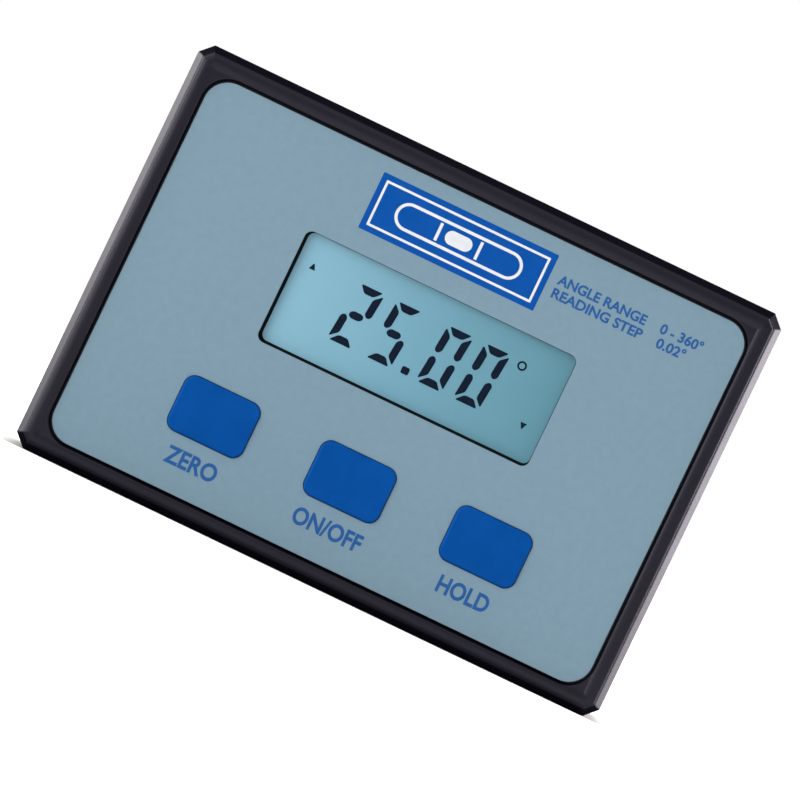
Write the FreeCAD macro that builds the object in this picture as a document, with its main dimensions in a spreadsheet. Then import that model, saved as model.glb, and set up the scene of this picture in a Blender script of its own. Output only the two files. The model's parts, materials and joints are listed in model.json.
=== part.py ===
import FreeCAD, Part
import math
import os
from types import SimpleNamespace

import Sketcher

# A hand-sized digital spirit level: a black metal frame with four measuring faces, a recessed front panel
# with a display and three keys, and a hanging pendulum inside that senses the angle. Millimetres. X runs
# along the base, Z up, and the front looks along -Y. Distances called "forward" are measured along -Y from
# the middle of the level's depth.

SIZES = {
    # frame, outside
    "corner_cut": 2.0,
    "rim_bevel": 1.2,
    "rim_round": 1.0,
    "recess_round": 0.25,
    "edge_break": 0.25,
    # frame, inside
    "wall": 5.0,
    "cavity_radius": 3.0,
    "flange_land": 4.0,
    "flange_thickness": 5.5,
    "flange_radius": 3.0,
    "corner_block": 8.0,
    # front panel
    "rim_width": 4.0,
    "rim_height": 3.85,
    "panel_radius": 4.0,
    "panel_gap": 0.45,
    "panel_drop": 0.27,
    "panel_setback": 0.6,
    "overlay_thickness": 0.3,
    "plate_thickness": 1.2,
    # display
    "display_shift": 0.4,
    "display_rise": 5.8,
    "window_side_lap": 1.7,
    "window_foot_lap": 2.1,
    "window_radius": 1.3,
    "glass_width": 50.8,
    "glass_height": 30.5,
    "glass_thickness": 1.1,
    "rear_glass_gap": 1.0,
    "film_margin": 0.7,
    "polarizer_thickness": 0.2,
    "reflector_thickness": 0.25,
    "holder_wall": 1.2,
    "holder_lip": 0.9,
    "holder_shelf": 2.2,
    "display_play": 0.15,
    "zebra_width": 2.0,
    "zebra_inset": 1.5,
    # keys and their switches
    "key_row_shift": -0.1,
    "key_row_drop": 17.75,
    "key_pitch": 23.8,
    "key_width": 13.05,
    "key_height": 9.4,
    "key_radius": 1.8,
    "key_rise": 0.55,
    "key_round": 0.4,
    "key_gap": 0.12,
    "key_float": 0.05,
    "key_collar": 1.0,
    "key_collar_thickness": 0.8,
    "key_stem": 4.0,
    "key_travel": 0.5,
    "switch_side": 6.0,
    "switch_corner": 0.6,
    "switch_height": 3.3,
    "switch_cover_thickness": 0.2,
    "plunger_diameter": 3.5,
    "plunger_rise": 0.8,
    "plunger_foot": 0.5,
    "plunger_foot_thickness": 0.6,
    "plunger_play": 0.15,
    # circuit board
    "board_thickness": 1.6,
    "board_gap": 0.5,
    "board_screw_rise": 18.0,
    "board_screw_diameter": 2.0,
    "board_screw_length": 5.0,
    "board_head_diameter": 3.8,
    "board_head_height": 1.3,
    "screw_tip_gap": 0.4,
    # electronics on the board
    "processor_side": 7.0,
    "processor_rise": 12.0,
    "amplifier_length": 8.7,
    "amplifier_width": 3.9,
    "amplifier_rise": -7.5,
    "chip_thickness": 1.5,
    "chip_standoff": 0.15,
    "dimple_diameter": 0.9,
    "dimple_inset": 1.0,
    "lead_width": 0.3,
    "lead_sheet": 0.15,
    "lead_reach": 1.0,
    "processor_pitch": 0.8,
    "amplifier_pitch": 1.27,
    "crystal_rise": 18.0,
    "crystal_length": 10.2,
    "crystal_width": 3.8,
    "crystal_height": 3.2,
    "crystal_flange": 0.4,
    "crystal_round": 0.45,
    "capacitor_diameter": 5.0,
    "capacitor_height": 4.4,
    "capacitor_groove": 0.3,
    "capacitor_groove_rise": 0.7,
    "capacitor_pitch": 8.0,
    "capacitor_rise": 2.0,
    "capacitor_base_side": 5.3,
    "capacitor_base_height": 0.6,
    "resistor_length": 2.0,
    "resistor_width": 1.25,
    "resistor_height": 0.6,
    "resistor_pitch": 3.2,
    "resistor_rise": -14.5,
    # tilt sensor
    "sensor_radius": 20.0,
    "sensor_side_gap": 5.0,
    "sensor_rear_gap": 0.5,
    "sensor_wall": 1.5,
    "sensor_gap": 1.2,
    "sensor_floor": 1.5,
    "sensor_lid_thickness": 1.6,
    "ear_wall_gap": 1.25,
    "ear_width": 7.0,
    "ear_thickness": 2.0,
    "ear_reach": 3.0,
    "sensor_screw_diameter": 2.5,
    "sensor_screw_length": 9.0,
    "sensor_head_diameter": 4.5,
    "sensor_head_height": 1.4,
    "stator_ledge_width": 1.5,
    "stator_ledge_height": 2.0,
    "stator_thickness": 1.0,
    "stator_bore": 5.0,
    "bearing_diameter": 5.0,
    "bearing_width": 2.5,
    "bearing_boss_wall": 1.5,
    "bearing_cap": 0.5,
    "bearing_fit": 0.02,
    "running_clearance": 0.03,
    "shaft_diameter": 2.0,
    "shaft_end_play": 0.2,
    "rotor_gap": 0.5,
    "rotor_margin": 3.5,
    "rotor_thickness": 0.8,
    "weight_gap": 1.6,
    "weight_margin": 4.0,
    "hub_radius": 3.5,
    "collar_length": 1.0,
    "collar_radius": 2.2,
    "collar_gap": 0.4,
    "magnet_gap": 0.6,
    "magnet_rise": 3.4,
    "magnet_boss_gap": 1.48,
    "magnet_margin": 1.0,
    "damping_magnet_seat": 0.6,
    "pin_diameter": 0.6,
    "pin_pitch": 1.27,
    "pin_shift": 3.5,
    "pin_shelf_gap": 2.85,
    "pin_tail": 0.6,
    # rear cover, battery well and door
    "cover_thickness": 2.5,
    "cover_inset": 1.2,
    "cover_radius": 2.5,
    "cover_round": 0.9,
    "cover_screw_diameter": 3.0,
    "cover_screw_length": 8.0,
    "cover_head_diameter": 5.6,
    "cover_head_gap": 0.15,
    "cover_head_sunk": 0.1,
    "well_wall": 1.8,
    "well_floor": 1.2,
    "well_board_gap": 1.4,
    "well_side_gap": 0.45,
    "well_end_gap": 1.45,
    "pad_thickness": 1.0,
    "door_lap": 0.75,
    "door_thickness": 1.5,
    "door_tongue": 1.0,
    "door_tongue_thickness": 0.65,
    "door_side_gap": 0.2,
    "door_face_gap": 0.15,
    "door_foot": 1.4,
    "grip_width": 14.0,
    "grip_groove": 0.9,
    "grip_depth": 0.45,
    "grip_pitch": 1.9,
    "grip_rise": 8.0,
    # battery and its connector
    "battery_width": 26.5,
    "battery_depth": 17.5,
    "battery_length": 46.4,
    "battery_radius": 2.2,
    "battery_end_round": 0.8,
    "battery_side_gap": 0.5,
    "battery_foot_gap": 0.5,
    "battery_head_gap": 2.55,
    "battery_door_gap": 0.2,
    "terminal_spacing": 12.7,
    "terminal_height": 2.0,
    "stud_diameter": 5.4,
    "stud_neck": 0.3,
    "socket_wall": 0.8,
    "snap_play": 0.15,
    "snap_end": 6.15,
    "snap_width": 12.0,
    "snap_thickness": 2.4,
    "lead_diameter": 1.3,
    "lead_room": 7.45,
    "connector_shift": 2.0,
    "connector_drop": 24.0,
    "connector_width": 7.4,
    "connector_depth": 5.8,
    "connector_height": 5.0,
    "connector_pitch": 2.5,
    # magnets in the base
    "base_magnet_diameter": 12.0,
    "base_magnet_thickness": 3.4,
    "base_magnet_seat": 0.1,
    "base_magnet_reach": 30.0,
    "base_magnet_play": 0.15,
}

PROCESSOR_LEAD_COUNT = 8
AMPLIFIER_LEAD_COUNT = 7

doc = FreeCAD.newDocument("digital_spirit_level")


class Size:
    """A length that knows its value and the sheet formula that gives it."""

    def __init__(self, value, formula):
        self.value = value
        self.formula = formula

    def __add__(self, other):
        other = as_size(other)
        return Size(self.value + other.value, f"({self.formula} + {other.formula})")

    def __sub__(self, other):
        other = as_size(other)
        return Size(self.value - other.value, f"({self.formula} - {other.formula})")

    def __mul__(self, factor):
        return Size(self.value * factor, f"({self.formula} * {factor})")

    def __truediv__(self, divisor):
        return Size(self.value / divisor, f"({self.formula} / {divisor})")

    def __neg__(self):
        return Size(-self.value, f"(0 - {self.formula})")


def as_size(amount):
    return amount if isinstance(amount, Size) else Size(float(amount), f"{float(amount)}")


def fill_sheet():
    """Write the driving dimensions into the sheet and hand them back as sizes."""
    sheet = doc.addObject("Spreadsheet::Sheet", "sizes")
    sizes = {}
    for row, (name, number) in enumerate(SIZES.items(), start=1):
        sheet.set(f"A{row}", name)
        sheet.set(f"B{row}", str(number))
        sheet.setAlias(f"B{row}", name)
        sizes[name] = Size(number, f"sizes.{name}")
    doc.recompute()
    return SimpleNamespace(**sizes)


d = fill_sheet()

# The battery well follows from the battery, and the level is as large as what it holds.
WELL_WIDTH = d.battery_width + d.battery_side_gap * 2
WELL_LENGTH = (d.battery_foot_gap + d.battery_length + d.terminal_height + d.snap_play + d.snap_thickness
               + d.battery_head_gap)
LEVEL_WIDTH = (d.wall * 2 + d.sensor_side_gap + d.sensor_radius * 2 + d.lead_room + d.well_wall * 2
               + WELL_WIDTH + d.well_side_gap + d.corner_block)
LEVEL_HEIGHT = d.wall * 2 + d.well_end_gap * 2 + d.well_wall * 2 + WELL_LENGTH
LEVEL_DEPTH = (d.panel_setback + d.overlay_thickness + d.plate_thickness + d.flange_thickness
               + d.board_thickness + d.well_board_gap + d.well_floor + d.pad_thickness + d.battery_depth
               + d.battery_door_gap + d.door_thickness)

# Stations along the depth, measured forward from the middle of the level.
FRONT = LEVEL_DEPTH / 2
REAR = -FRONT
PANEL_FACE = FRONT - d.panel_setback
PLATE_FACE = PANEL_FACE - d.overlay_thickness
RECESS_FLOOR = PLATE_FACE - d.plate_thickness
BOARD_FACE = RECESS_FLOOR - d.flange_thickness
BOARD_BACK = BOARD_FACE - d.board_thickness
FRAME_REAR = REAR + d.cover_thickness

GLASS_FACE = RECESS_FLOOR - d.polarizer_thickness
GLASS_BACK = GLASS_FACE - d.glass_thickness
REAR_GLASS_BACK = GLASS_BACK - d.glass_thickness
REFLECTOR_BACK = REAR_GLASS_BACK - d.reflector_thickness

SWITCH_FACE = BOARD_FACE + d.switch_height
SWITCH_TOP = SWITCH_FACE + d.switch_cover_thickness
PLUNGER_TOP = SWITCH_TOP + d.plunger_rise
PLUNGER_FOOT = SWITCH_FACE - d.plunger_play - d.plunger_foot_thickness
KEY_COLLAR_FACE = RECESS_FLOOR - d.key_float
KEY_COLLAR_BACK = KEY_COLLAR_FACE - d.key_collar_thickness

CUP_FRONT = BOARD_BACK - d.sensor_gap
CUP_FLOOR = CUP_FRONT - d.sensor_floor
LID_BACK = FRAME_REAR + d.sensor_rear_gap + d.sensor_head_height
CUP_RIM = LID_BACK + d.sensor_lid_thickness
EAR_SEAT = CUP_RIM + d.ear_thickness
FRONT_BEARING = CUP_FRONT - d.bearing_cap
REAR_BEARING = LID_BACK + d.bearing_cap
REAR_BOSS_END = REAR_BEARING + d.bearing_width
STATOR_FACE = CUP_FLOOR - d.stator_ledge_height
STATOR_BACK = STATOR_FACE - d.stator_thickness
ROTOR_FACE = STATOR_BACK - d.rotor_gap
ROTOR_BACK = ROTOR_FACE - d.rotor_thickness
WEIGHT_FACE = ROTOR_BACK - d.weight_gap
MAGNET_FACE = CUP_RIM + d.magnet_rise
MAGNET_SEAT = CUP_RIM - d.damping_magnet_seat
WEIGHT_BACK = MAGNET_FACE + d.magnet_gap
COLLAR_BACK = REAR_BOSS_END + d.collar_gap
HUB_BACK = COLLAR_BACK + d.collar_length

WELL_FACE = BOARD_BACK - d.well_board_gap
WELL_FLOOR = WELL_FACE - d.well_floor
BATTERY_FACE = WELL_FLOOR - d.pad_thickness
BATTERY_MIDDLE = BATTERY_FACE - d.battery_depth / 2
DOOR_INSIDE = REAR + d.door_thickness
CHANNEL_FLOOR = DOOR_INSIDE + d.door_face_gap
TONGUE_BACK = DOOR_INSIDE - d.door_tongue_thickness
LIP_INSIDE = TONGUE_BACK - d.door_face_gap

# Places across the front, measured from the middle of the front face.
MIDDLE = LEVEL_HEIGHT / 2
CAVITY_WIDTH = LEVEL_WIDTH - d.wall * 2
CAVITY_HEIGHT = LEVEL_HEIGHT - d.wall * 2
PANEL_WIDTH = LEVEL_WIDTH - d.rim_width * 2
PANEL_HEIGHT = LEVEL_HEIGHT - d.rim_height * 2
REAR_GLASS_HEIGHT = d.glass_height - (d.zebra_inset + d.zebra_width / 2 + d.rear_glass_gap) * 2
WINDOW_WIDTH = d.glass_width - d.window_side_lap * 2
WINDOW_HEIGHT = REAR_GLASS_HEIGHT - d.window_foot_lap * 2
FLANGE_WIDTH = CAVITY_WIDTH - d.flange_land * 2
FLANGE_HEIGHT = CAVITY_HEIGHT - d.flange_land * 2
BLOCK_MIDDLE_X = (CAVITY_WIDTH - d.corner_block) / 2
BLOCK_MIDDLE_Z = (CAVITY_HEIGHT - d.corner_block) / 2
BOARD_SCREW_X = (CAVITY_WIDTH - d.flange_land) / 2
SENSOR_X = d.sensor_side_gap + d.sensor_radius - CAVITY_WIDTH / 2
EAR_RADIUS = CAVITY_HEIGHT / 2 - d.ear_wall_gap - d.ear_reach
POST_FOOT = EAR_RADIUS - d.ear_reach
SENSOR_BORE = d.sensor_radius - d.sensor_wall
ROTOR_RADIUS = SENSOR_BORE - d.rotor_margin
WEIGHT_RADIUS = SENSOR_BORE - d.weight_margin
BEARING_BORE = d.bearing_diameter / 2 + d.bearing_fit
BOSS_RADIUS = BEARING_BORE + d.bearing_boss_wall
MAGNET_INNER = BOSS_RADIUS + d.magnet_boss_gap
MAGNET_OUTER = WEIGHT_RADIUS - d.magnet_margin
PIN_RISE = d.display_rise + REAR_GLASS_HEIGHT / 2 - d.holder_shelf - d.pin_shelf_gap
HOLDER_REACH = d.glass_width / 2 + d.display_play + d.holder_wall
LEFT_COLUMN = (d.display_shift - HOLDER_REACH - FLANGE_WIDTH / 2) / 2
RIGHT_COLUMN = (d.display_shift + HOLDER_REACH + FLANGE_WIDTH / 2) / 2
WELL_X = CAVITY_WIDTH / 2 - d.corner_block - d.well_side_gap - d.well_wall - WELL_WIDTH / 2
BATTERY_FOOT = d.battery_foot_gap - WELL_LENGTH / 2
BATTERY_TOP = BATTERY_FOOT + d.battery_length
SNAP_FOOT = BATTERY_TOP + d.terminal_height + d.snap_play
DOOR_FOOT = -WELL_LENGTH / 2 - d.door_foot
DOOR_WIDTH = WELL_WIDTH + d.door_lap * 2
COVER_WIDTH = LEVEL_WIDTH - d.cover_inset * 2
COVER_HEIGHT = LEVEL_HEIGHT - d.cover_inset * 2


def bind(item, name, amount):
    item.setExpression(name, as_size(amount).formula)


def new_body(label, x=0, z=0):
    """Start a piece whose own origin lies at (x, z) seen from the front, from the face's middle."""
    body = doc.addObject("PartDesign::Body", label)
    body.Label = label
    bind(body, "Placement.Base.x", x)
    bind(body, "Placement.Base.z", MIDDLE + z)
    return body


def origin_part(body, role):
    return next(part for part in body.Origin.OriginFeatures if part.Role == role)


def new_sketch(body, role, x=0, y=0, z=0):
    """Attach a sketch to one of the body's own planes; z lifts it along the plane's normal."""
    sketch = body.newObject("Sketcher::SketchObject", body.Label + "_sketch")
    sketch.AttachmentSupport = [(origin_part(body, role), "")]
    sketch.MapMode = "FlatFace"
    for axis, amount in zip("xyz", (x, y, z)):
        bind(sketch, f"AttachmentOffset.Base.{axis}", amount)
    return sketch


def front_sketch(body, forward, x=0, z=0):
    """A sketch seen from the front: its x is X, its y is Z, and it lies at a station forward."""
    return new_sketch(body, "XZ_Plane", x, z, forward)


def side_of_axis_sketch(body, x=0, z=0):
    """A sketch for turned pieces on an axis along Y: its x is the radius, its y is Y."""
    return new_sketch(body, "XY_Plane", x, 0, z)


def pin_down(sketch, geometry, point, across, up):
    """Hold a point of the sketch at a distance from the sketch's origin."""
    for kind, amount in (("DistanceX", across), ("DistanceY", up)):
        amount = as_size(amount)
        index = sketch.addConstraint(Sketcher.Constraint(kind, -1, 1, geometry, point, amount.value))
        bind(sketch, f"Constraints[{index}]", amount)


def polygon(sketch, points):
    """A closed outline through the points, each held by its two distances."""
    points = [(as_size(across), as_size(up)) for across, up in points]
    corners = [FreeCAD.Vector(across.value, up.value, 0) for across, up in points]
    first = sketch.GeometryCount
    for start, end in zip(corners, corners[1:] + corners[:1]):
        sketch.addGeometry(Part.LineSegment(start, end), False)
    count = len(points)
    for side in range(count):
        following = first + (side + 1) % count
        sketch.addConstraint(Sketcher.Constraint("Coincident", first + side, 2, following, 1))
    for side, (across, up) in enumerate(points):
        pin_down(sketch, first + side, 1, across, up)


def rectangle(sketch, width, height, x=0, z=0):
    width, height, x, z = (as_size(amount) for amount in (width, height, x, z))
    left, right = x - width / 2, x + width / 2
    low, high = z - height / 2, z + height / 2
    polygon(sketch, [(left, low), (right, low), (right, high), (left, high)])


def rounded_rectangle(sketch, width, height, radius, x=0, z=0):
    """Four sides and four tangent arcs of one radius."""
    width, height, radius, x, z = (as_size(amount) for amount in (width, height, radius, x, z))
    left, right = x - width / 2, x + width / 2
    low, high = z - height / 2, z + height / 2
    first = sketch.GeometryCount
    reach = radius.value
    ends = [((left, low), (right, low)), ((right, low), (right, high)),
            ((right, high), (left, high)), ((left, high), (left, low))]
    for (start_x, start_z), (end_x, end_z) in ends:
        start = FreeCAD.Vector(start_x.value, start_z.value, 0)
        end = FreeCAD.Vector(end_x.value, end_z.value, 0)
        trim = (end - start).normalize() * reach
        sketch.addGeometry(Part.LineSegment(start + trim, end - trim), False)
    centres = [(right.value - reach, low.value + reach), (right.value - reach, high.value - reach),
               (left.value + reach, high.value - reach), (left.value + reach, low.value + reach)]
    for quarter, (across, up) in enumerate(centres):
        circle = Part.Circle(FreeCAD.Vector(across, up, 0), FreeCAD.Vector(0, 0, 1), reach)
        start = math.radians(90 * quarter - 90)
        sketch.addGeometry(Part.ArcOfCircle(circle, start, start + math.pi / 2), False)
    for side in range(4):
        line, arc = first + side, first + 4 + side
        sketch.addConstraint(Sketcher.Constraint("Tangent", line, 2, arc, 1))
        sketch.addConstraint(Sketcher.Constraint("Tangent", arc, 2, first + (side + 1) % 4, 1))
        sketch.addConstraint(Sketcher.Constraint("Vertical" if side % 2 else "Horizontal", line))
        if side:
            sketch.addConstraint(Sketcher.Constraint("Equal", first + 4, arc))
    size = sketch.addConstraint(Sketcher.Constraint("Radius", first + 4, reach))
    bind(sketch, f"Constraints[{size}]", radius)
    for kind, line, amount in (("DistanceY", 0, low), ("DistanceX", 1, right),
                               ("DistanceY", 2, high), ("DistanceX", 3, left)):
        index = sketch.addConstraint(Sketcher.Constraint(kind, -1, 1, first + line, 1, amount.value))
        bind(sketch, f"Constraints[{index}]", amount)


def circle(sketch, diameter, x=0, z=0):
    diameter, x, z = (as_size(amount) for amount in (diameter, x, z))
    centre = FreeCAD.Vector(x.value, z.value, 0)
    ring = Part.Circle(centre, FreeCAD.Vector(0, 0, 1), diameter.value / 2)
    index = sketch.addGeometry(ring, False)
    size = sketch.addConstraint(Sketcher.Constraint("Diameter", index, diameter.value))
    bind(sketch, f"Constraints[{size}]", diameter)
    pin_down(sketch, index, 3, x, z)


def cross(sketch, reach, slot):
    """A cross-head recess about the sketch's origin."""
    far, near = reach / 2, slot / 2
    corners = [(near, near), (near, far), (-near, far), (-near, near), (-far, near), (-far, -near),
               (-near, -near), (-near, -far), (near, -far), (near, -near), (far, -near), (far, near)]
    polygon(sketch, corners)


def pad(body, sketch, length):
    """Grow the outline along the sketch's normal: forward, for a sketch seen from the front."""
    feature = body.newObject("PartDesign::Pad", body.Label + "_pad")
    feature.Profile = sketch
    bind(feature, "Length", length)
    return feature


def pocket(body, sketch, depth):
    """Cut the outline against the sketch's normal: backward, for a sketch seen from the front."""
    feature = body.newObject("PartDesign::Pocket", body.Label + "_pocket")
    feature.Profile = sketch
    bind(feature, "Length", depth)
    return feature


def revolve(body, sketch, angle=360.0):
    feature = body.newObject("PartDesign::Revolution", body.Label + "_turned")
    feature.Profile = sketch
    feature.ReferenceAxis = (sketch, ["V_Axis"])
    feature.Angle = angle
    return feature


def turned(body, outline, x=0, z=0):
    """A piece turned about an axis along Y, from (radius, station forward) points."""
    sketch = side_of_axis_sketch(body, x, z)
    polygon(sketch, [(radius, -as_size(forward)) for radius, forward in outline])
    return revolve(body, sketch)


def turned_upright(body, outline, x=0, y=0, z=0):
    """A piece turned about an upright axis, from (radius, height) points."""
    sketch = new_sketch(body, "XZ_Plane", x, z, -as_size(y))
    polygon(sketch, outline)
    return revolve(body, sketch)


def dress_edges(body, kind, size, wanted):
    """Fillet or chamfer those edges of the body so far that the test picks out."""
    doc.recompute()
    base = body.Tip
    names = [f"Edge{number}" for number, edge in enumerate(base.Shape.Edges, start=1) if wanted(edge)]
    feature = body.newObject(f"PartDesign::{kind}", f"{body.Label}_{kind.lower()}")
    feature.Base = (base, names)
    bind(feature, "Radius" if kind == "Fillet" else "Size", size)
    return feature


def at_station(forward, width=None, height=None, room=0.01):
    """A test for edges that lie in the plane at a station, inside a centred box if one is given."""
    level = -as_size(forward).value

    def wanted(edge):
        box = edge.BoundBox
        if abs(box.YMin - level) > room or abs(box.YMax - level) > room:
            return False
        if width is None:
            return True
        inside_x = max(abs(box.XMin), abs(box.XMax)) < width.value / 2 + room
        return inside_x and max(abs(box.ZMin), abs(box.ZMax)) < height.value / 2 + room

    return wanted


def along_depth(edge):
    """Edges that run straight along Y."""
    box = edge.BoundBox
    return box.XLength < 0.01 and box.ZLength < 0.01


def repeat(body, features, steps):
    """Copy features by mirrors, rows and turns; each step names its kind, origin part and measures."""
    copies = body.newObject("PartDesign::MultiTransform", body.Label + "_copies")
    transformations = []
    for kind, role, amount, count in steps:
        step = doc.addObject(f"PartDesign::{kind}", body.Label + "_step")
        body.addObject(step)
        if kind == "Mirrored":
            step.MirrorPlane = (origin_part(body, role), [""])
        elif kind == "LinearPattern":
            step.Direction = (origin_part(body, role), [""])
            bind(step, "Length", amount * (count - 1))
            step.Occurrences = count
        else:
            step.Axis = (origin_part(body, role), [""])
            step.Angle = amount
            step.Occurrences = count
        transformations.append(step)
    copies.Originals = features
    copies.Transformations = transformations
    body.Tip = copies
    return copies


FOUR_WAYS = [("Mirrored", "YZ_Plane", None, 2), ("Mirrored", "XY_Plane", None, 2)]


def frame():
    body = new_body("frame")
    outline = front_sketch(body, FRAME_REAR)
    rectangle(outline, LEVEL_WIDTH, LEVEL_HEIGHT)
    pad(body, outline, FRONT - FRAME_REAR)
    dress_edges(body, "Chamfer", d.corner_cut, along_depth)
    front, rear = at_station(FRONT), at_station(FRAME_REAR)
    dress_edges(body, "Chamfer", d.rim_bevel, lambda edge: front(edge) or rear(edge))
    dress_edges(body, "Fillet", d.rim_round, front)
    hollow_out(body)
    add_blocks_and_posts(body)
    drill_frame(body)
    return body


def hollow_out(body):
    """The front recess for the panel, the opening in the flange and the cavity behind it."""
    recess = front_sketch(body, FRONT)
    width, height = PANEL_WIDTH + d.panel_gap * 2, PANEL_HEIGHT + d.panel_gap * 2
    rounded_rectangle(recess, width, height, d.panel_radius + d.panel_gap, 0, -d.panel_drop)
    pocket(body, recess, FRONT - RECESS_FLOOR)
    dress_edges(body, "Fillet", d.recess_round, at_station(FRONT, width, height + d.panel_drop * 2))
    opening = front_sketch(body, RECESS_FLOOR)
    rounded_rectangle(opening, FLANGE_WIDTH, FLANGE_HEIGHT, d.flange_radius)
    pocket(body, opening, RECESS_FLOOR - FRAME_REAR)
    cavity = front_sketch(body, BOARD_FACE)
    rounded_rectangle(cavity, CAVITY_WIDTH, CAVITY_HEIGHT, d.cavity_radius)
    pocket(body, cavity, BOARD_FACE - FRAME_REAR)


def add_blocks_and_posts(body):
    """Corner blocks for the cover screws, and two posts that carry the tilt sensor."""
    block = front_sketch(body, FRAME_REAR)
    sunk = d.wall / 2
    block_side = d.corner_block + sunk
    rectangle(block, block_side, block_side, BLOCK_MIDDLE_X + sunk / 2, BLOCK_MIDDLE_Z + sunk / 2)
    repeat(body, [pad(body, block, BOARD_FACE - FRAME_REAR)], FOUR_WAYS)
    post = front_sketch(body, EAR_SEAT)
    post_length = CAVITY_HEIGHT / 2 + sunk - POST_FOOT
    rectangle(post, d.ear_width, post_length, SENSOR_X, POST_FOOT + post_length / 2)
    repeat(body, [pad(body, post, BOARD_FACE - EAR_SEAT)], [("Mirrored", "XY_Plane", None, 2)])


def drill_frame(body):
    """Screw holes from behind, board screw holes in the flange and the magnet seats in the base."""
    cover_hole = front_sketch(body, FRAME_REAR + d.cover_screw_length)
    circle(cover_hole, d.cover_screw_diameter, BLOCK_MIDDLE_X, BLOCK_MIDDLE_Z)
    repeat(body, [pocket(body, cover_hole, d.cover_screw_length)], FOUR_WAYS)
    sensor_hole = front_sketch(body, EAR_SEAT + d.sensor_screw_length)
    circle(sensor_hole, d.sensor_screw_diameter, SENSOR_X, EAR_RADIUS)
    repeat(body, [pocket(body, sensor_hole, d.sensor_screw_length)], [("Mirrored", "XY_Plane", None, 2)])
    board_hole = front_sketch(body, BOARD_FACE + d.board_screw_length)
    circle(board_hole, d.board_screw_diameter, BOARD_SCREW_X, d.board_screw_rise)
    repeat(body, [pocket(body, board_hole, d.board_screw_length)], FOUR_WAYS)
    seat_depth = d.base_magnet_thickness + d.base_magnet_seat
    seat = new_sketch(body, "XY_Plane", d.base_magnet_reach, 0, seat_depth - MIDDLE)
    circle(seat, d.base_magnet_diameter + d.base_magnet_play * 2)
    repeat(body, [pocket(body, seat, seat_depth)], [("Mirrored", "YZ_Plane", None, 2)])


def base_magnets():
    body = new_body("base_magnets")
    foot = d.base_magnet_seat - MIDDLE
    top = foot + d.base_magnet_thickness
    edge, radius = d.edge_break, d.base_magnet_diameter / 2
    outline = [(0, foot), (radius - edge, foot), (radius, foot + edge), (radius, top), (0, top)]
    disc = turned_upright(body, outline, d.base_magnet_reach)
    repeat(body, [disc], [("Mirrored", "YZ_Plane", None, 2)])
    return body


def cut_window_and_keys(body, face, depth):
    """The display window and the three key openings, which run through a panel layer."""
    window = front_sketch(body, face)
    rounded_rectangle(window, WINDOW_WIDTH, WINDOW_HEIGHT, d.window_radius, d.display_shift, d.display_rise)
    pocket(body, window, depth)
    opening = front_sketch(body, face)
    width, height = d.key_width + d.key_gap * 2, d.key_height + d.key_gap * 2
    rounded_rectangle(opening, width, height, d.key_radius + d.key_gap, d.key_row_shift - d.key_pitch,
                      -d.key_row_drop)
    repeat(body, [pocket(body, opening, depth)], [("LinearPattern", "X_Axis", d.key_pitch, 3)])


def panel_layer(label, face, thickness):
    body = new_body(label)
    outline = front_sketch(body, face - thickness)
    rounded_rectangle(outline, PANEL_WIDTH, PANEL_HEIGHT, d.panel_radius, 0, -d.panel_drop)
    pad(body, outline, thickness)
    cut_window_and_keys(body, face, thickness)
    return body


def key(label, x):
    """A key cap with rounded edges, the collar that keeps it behind the plate and a stem on the switch."""
    body = new_body(label, x, -d.key_row_drop)
    cap = front_sketch(body, KEY_COLLAR_FACE)
    rounded_rectangle(cap, d.key_width, d.key_height, d.key_radius)
    key_face = PANEL_FACE + d.key_rise
    pad(body, cap, key_face - KEY_COLLAR_FACE)
    dress_edges(body, "Fillet", d.key_round, at_station(key_face))
    collar = front_sketch(body, KEY_COLLAR_BACK)
    rounded_rectangle(collar, d.key_width + d.key_collar * 2, d.key_height + d.key_collar * 2,
                      d.key_radius + d.key_collar)
    pad(body, collar, d.key_collar_thickness)
    stem = front_sketch(body, PLUNGER_TOP)
    circle(stem, d.key_stem)
    pad(body, stem, KEY_COLLAR_BACK - PLUNGER_TOP)
    return body


def plunger(label, x):
    """The switch's moving button, with a foot that the metal cover keeps in."""
    body = new_body(label, x, -d.key_row_drop)
    stem = d.plunger_diameter / 2
    foot = stem + d.plunger_foot
    shoulder = PLUNGER_FOOT + d.plunger_foot_thickness
    edge = d.plunger_play
    turned(body, [(0, PLUNGER_FOOT), (foot, PLUNGER_FOOT), (foot, shoulder), (stem, shoulder),
                  (stem, PLUNGER_TOP - edge), (stem - edge, PLUNGER_TOP), (0, PLUNGER_TOP)])
    return body


def switch_bases():
    body = new_body("switch_bases", d.key_row_shift - d.key_pitch, -d.key_row_drop)
    block = front_sketch(body, BOARD_FACE)
    rectangle(block, d.switch_side, d.switch_side)
    base = pad(body, block, d.switch_height)
    bore = front_sketch(body, SWITCH_FACE)
    circle(bore, d.plunger_diameter + (d.plunger_foot + d.plunger_play) * 2)
    well = pocket(body, bore, SWITCH_FACE - PLUNGER_FOOT + d.key_travel + d.plunger_play)
    repeat(body, [base, well], [("LinearPattern", "X_Axis", d.key_pitch, 3)])
    return body


def switch_covers():
    body = new_body("switch_covers", d.key_row_shift - d.key_pitch, -d.key_row_drop)
    sheet = front_sketch(body, SWITCH_FACE)
    rounded_rectangle(sheet, d.switch_side, d.switch_side, d.switch_corner)
    circle(sheet, d.plunger_diameter + d.plunger_play * 2)
    plate = pad(body, sheet, d.switch_cover_thickness)
    repeat(body, [plate], [("LinearPattern", "X_Axis", d.key_pitch, 3)])
    return body


def display_layer(label, back, thickness, width, height):
    body = new_body(label, d.display_shift, d.display_rise)
    outline = front_sketch(body, back)
    rectangle(outline, width, height)
    pad(body, outline, thickness)
    return body


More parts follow.
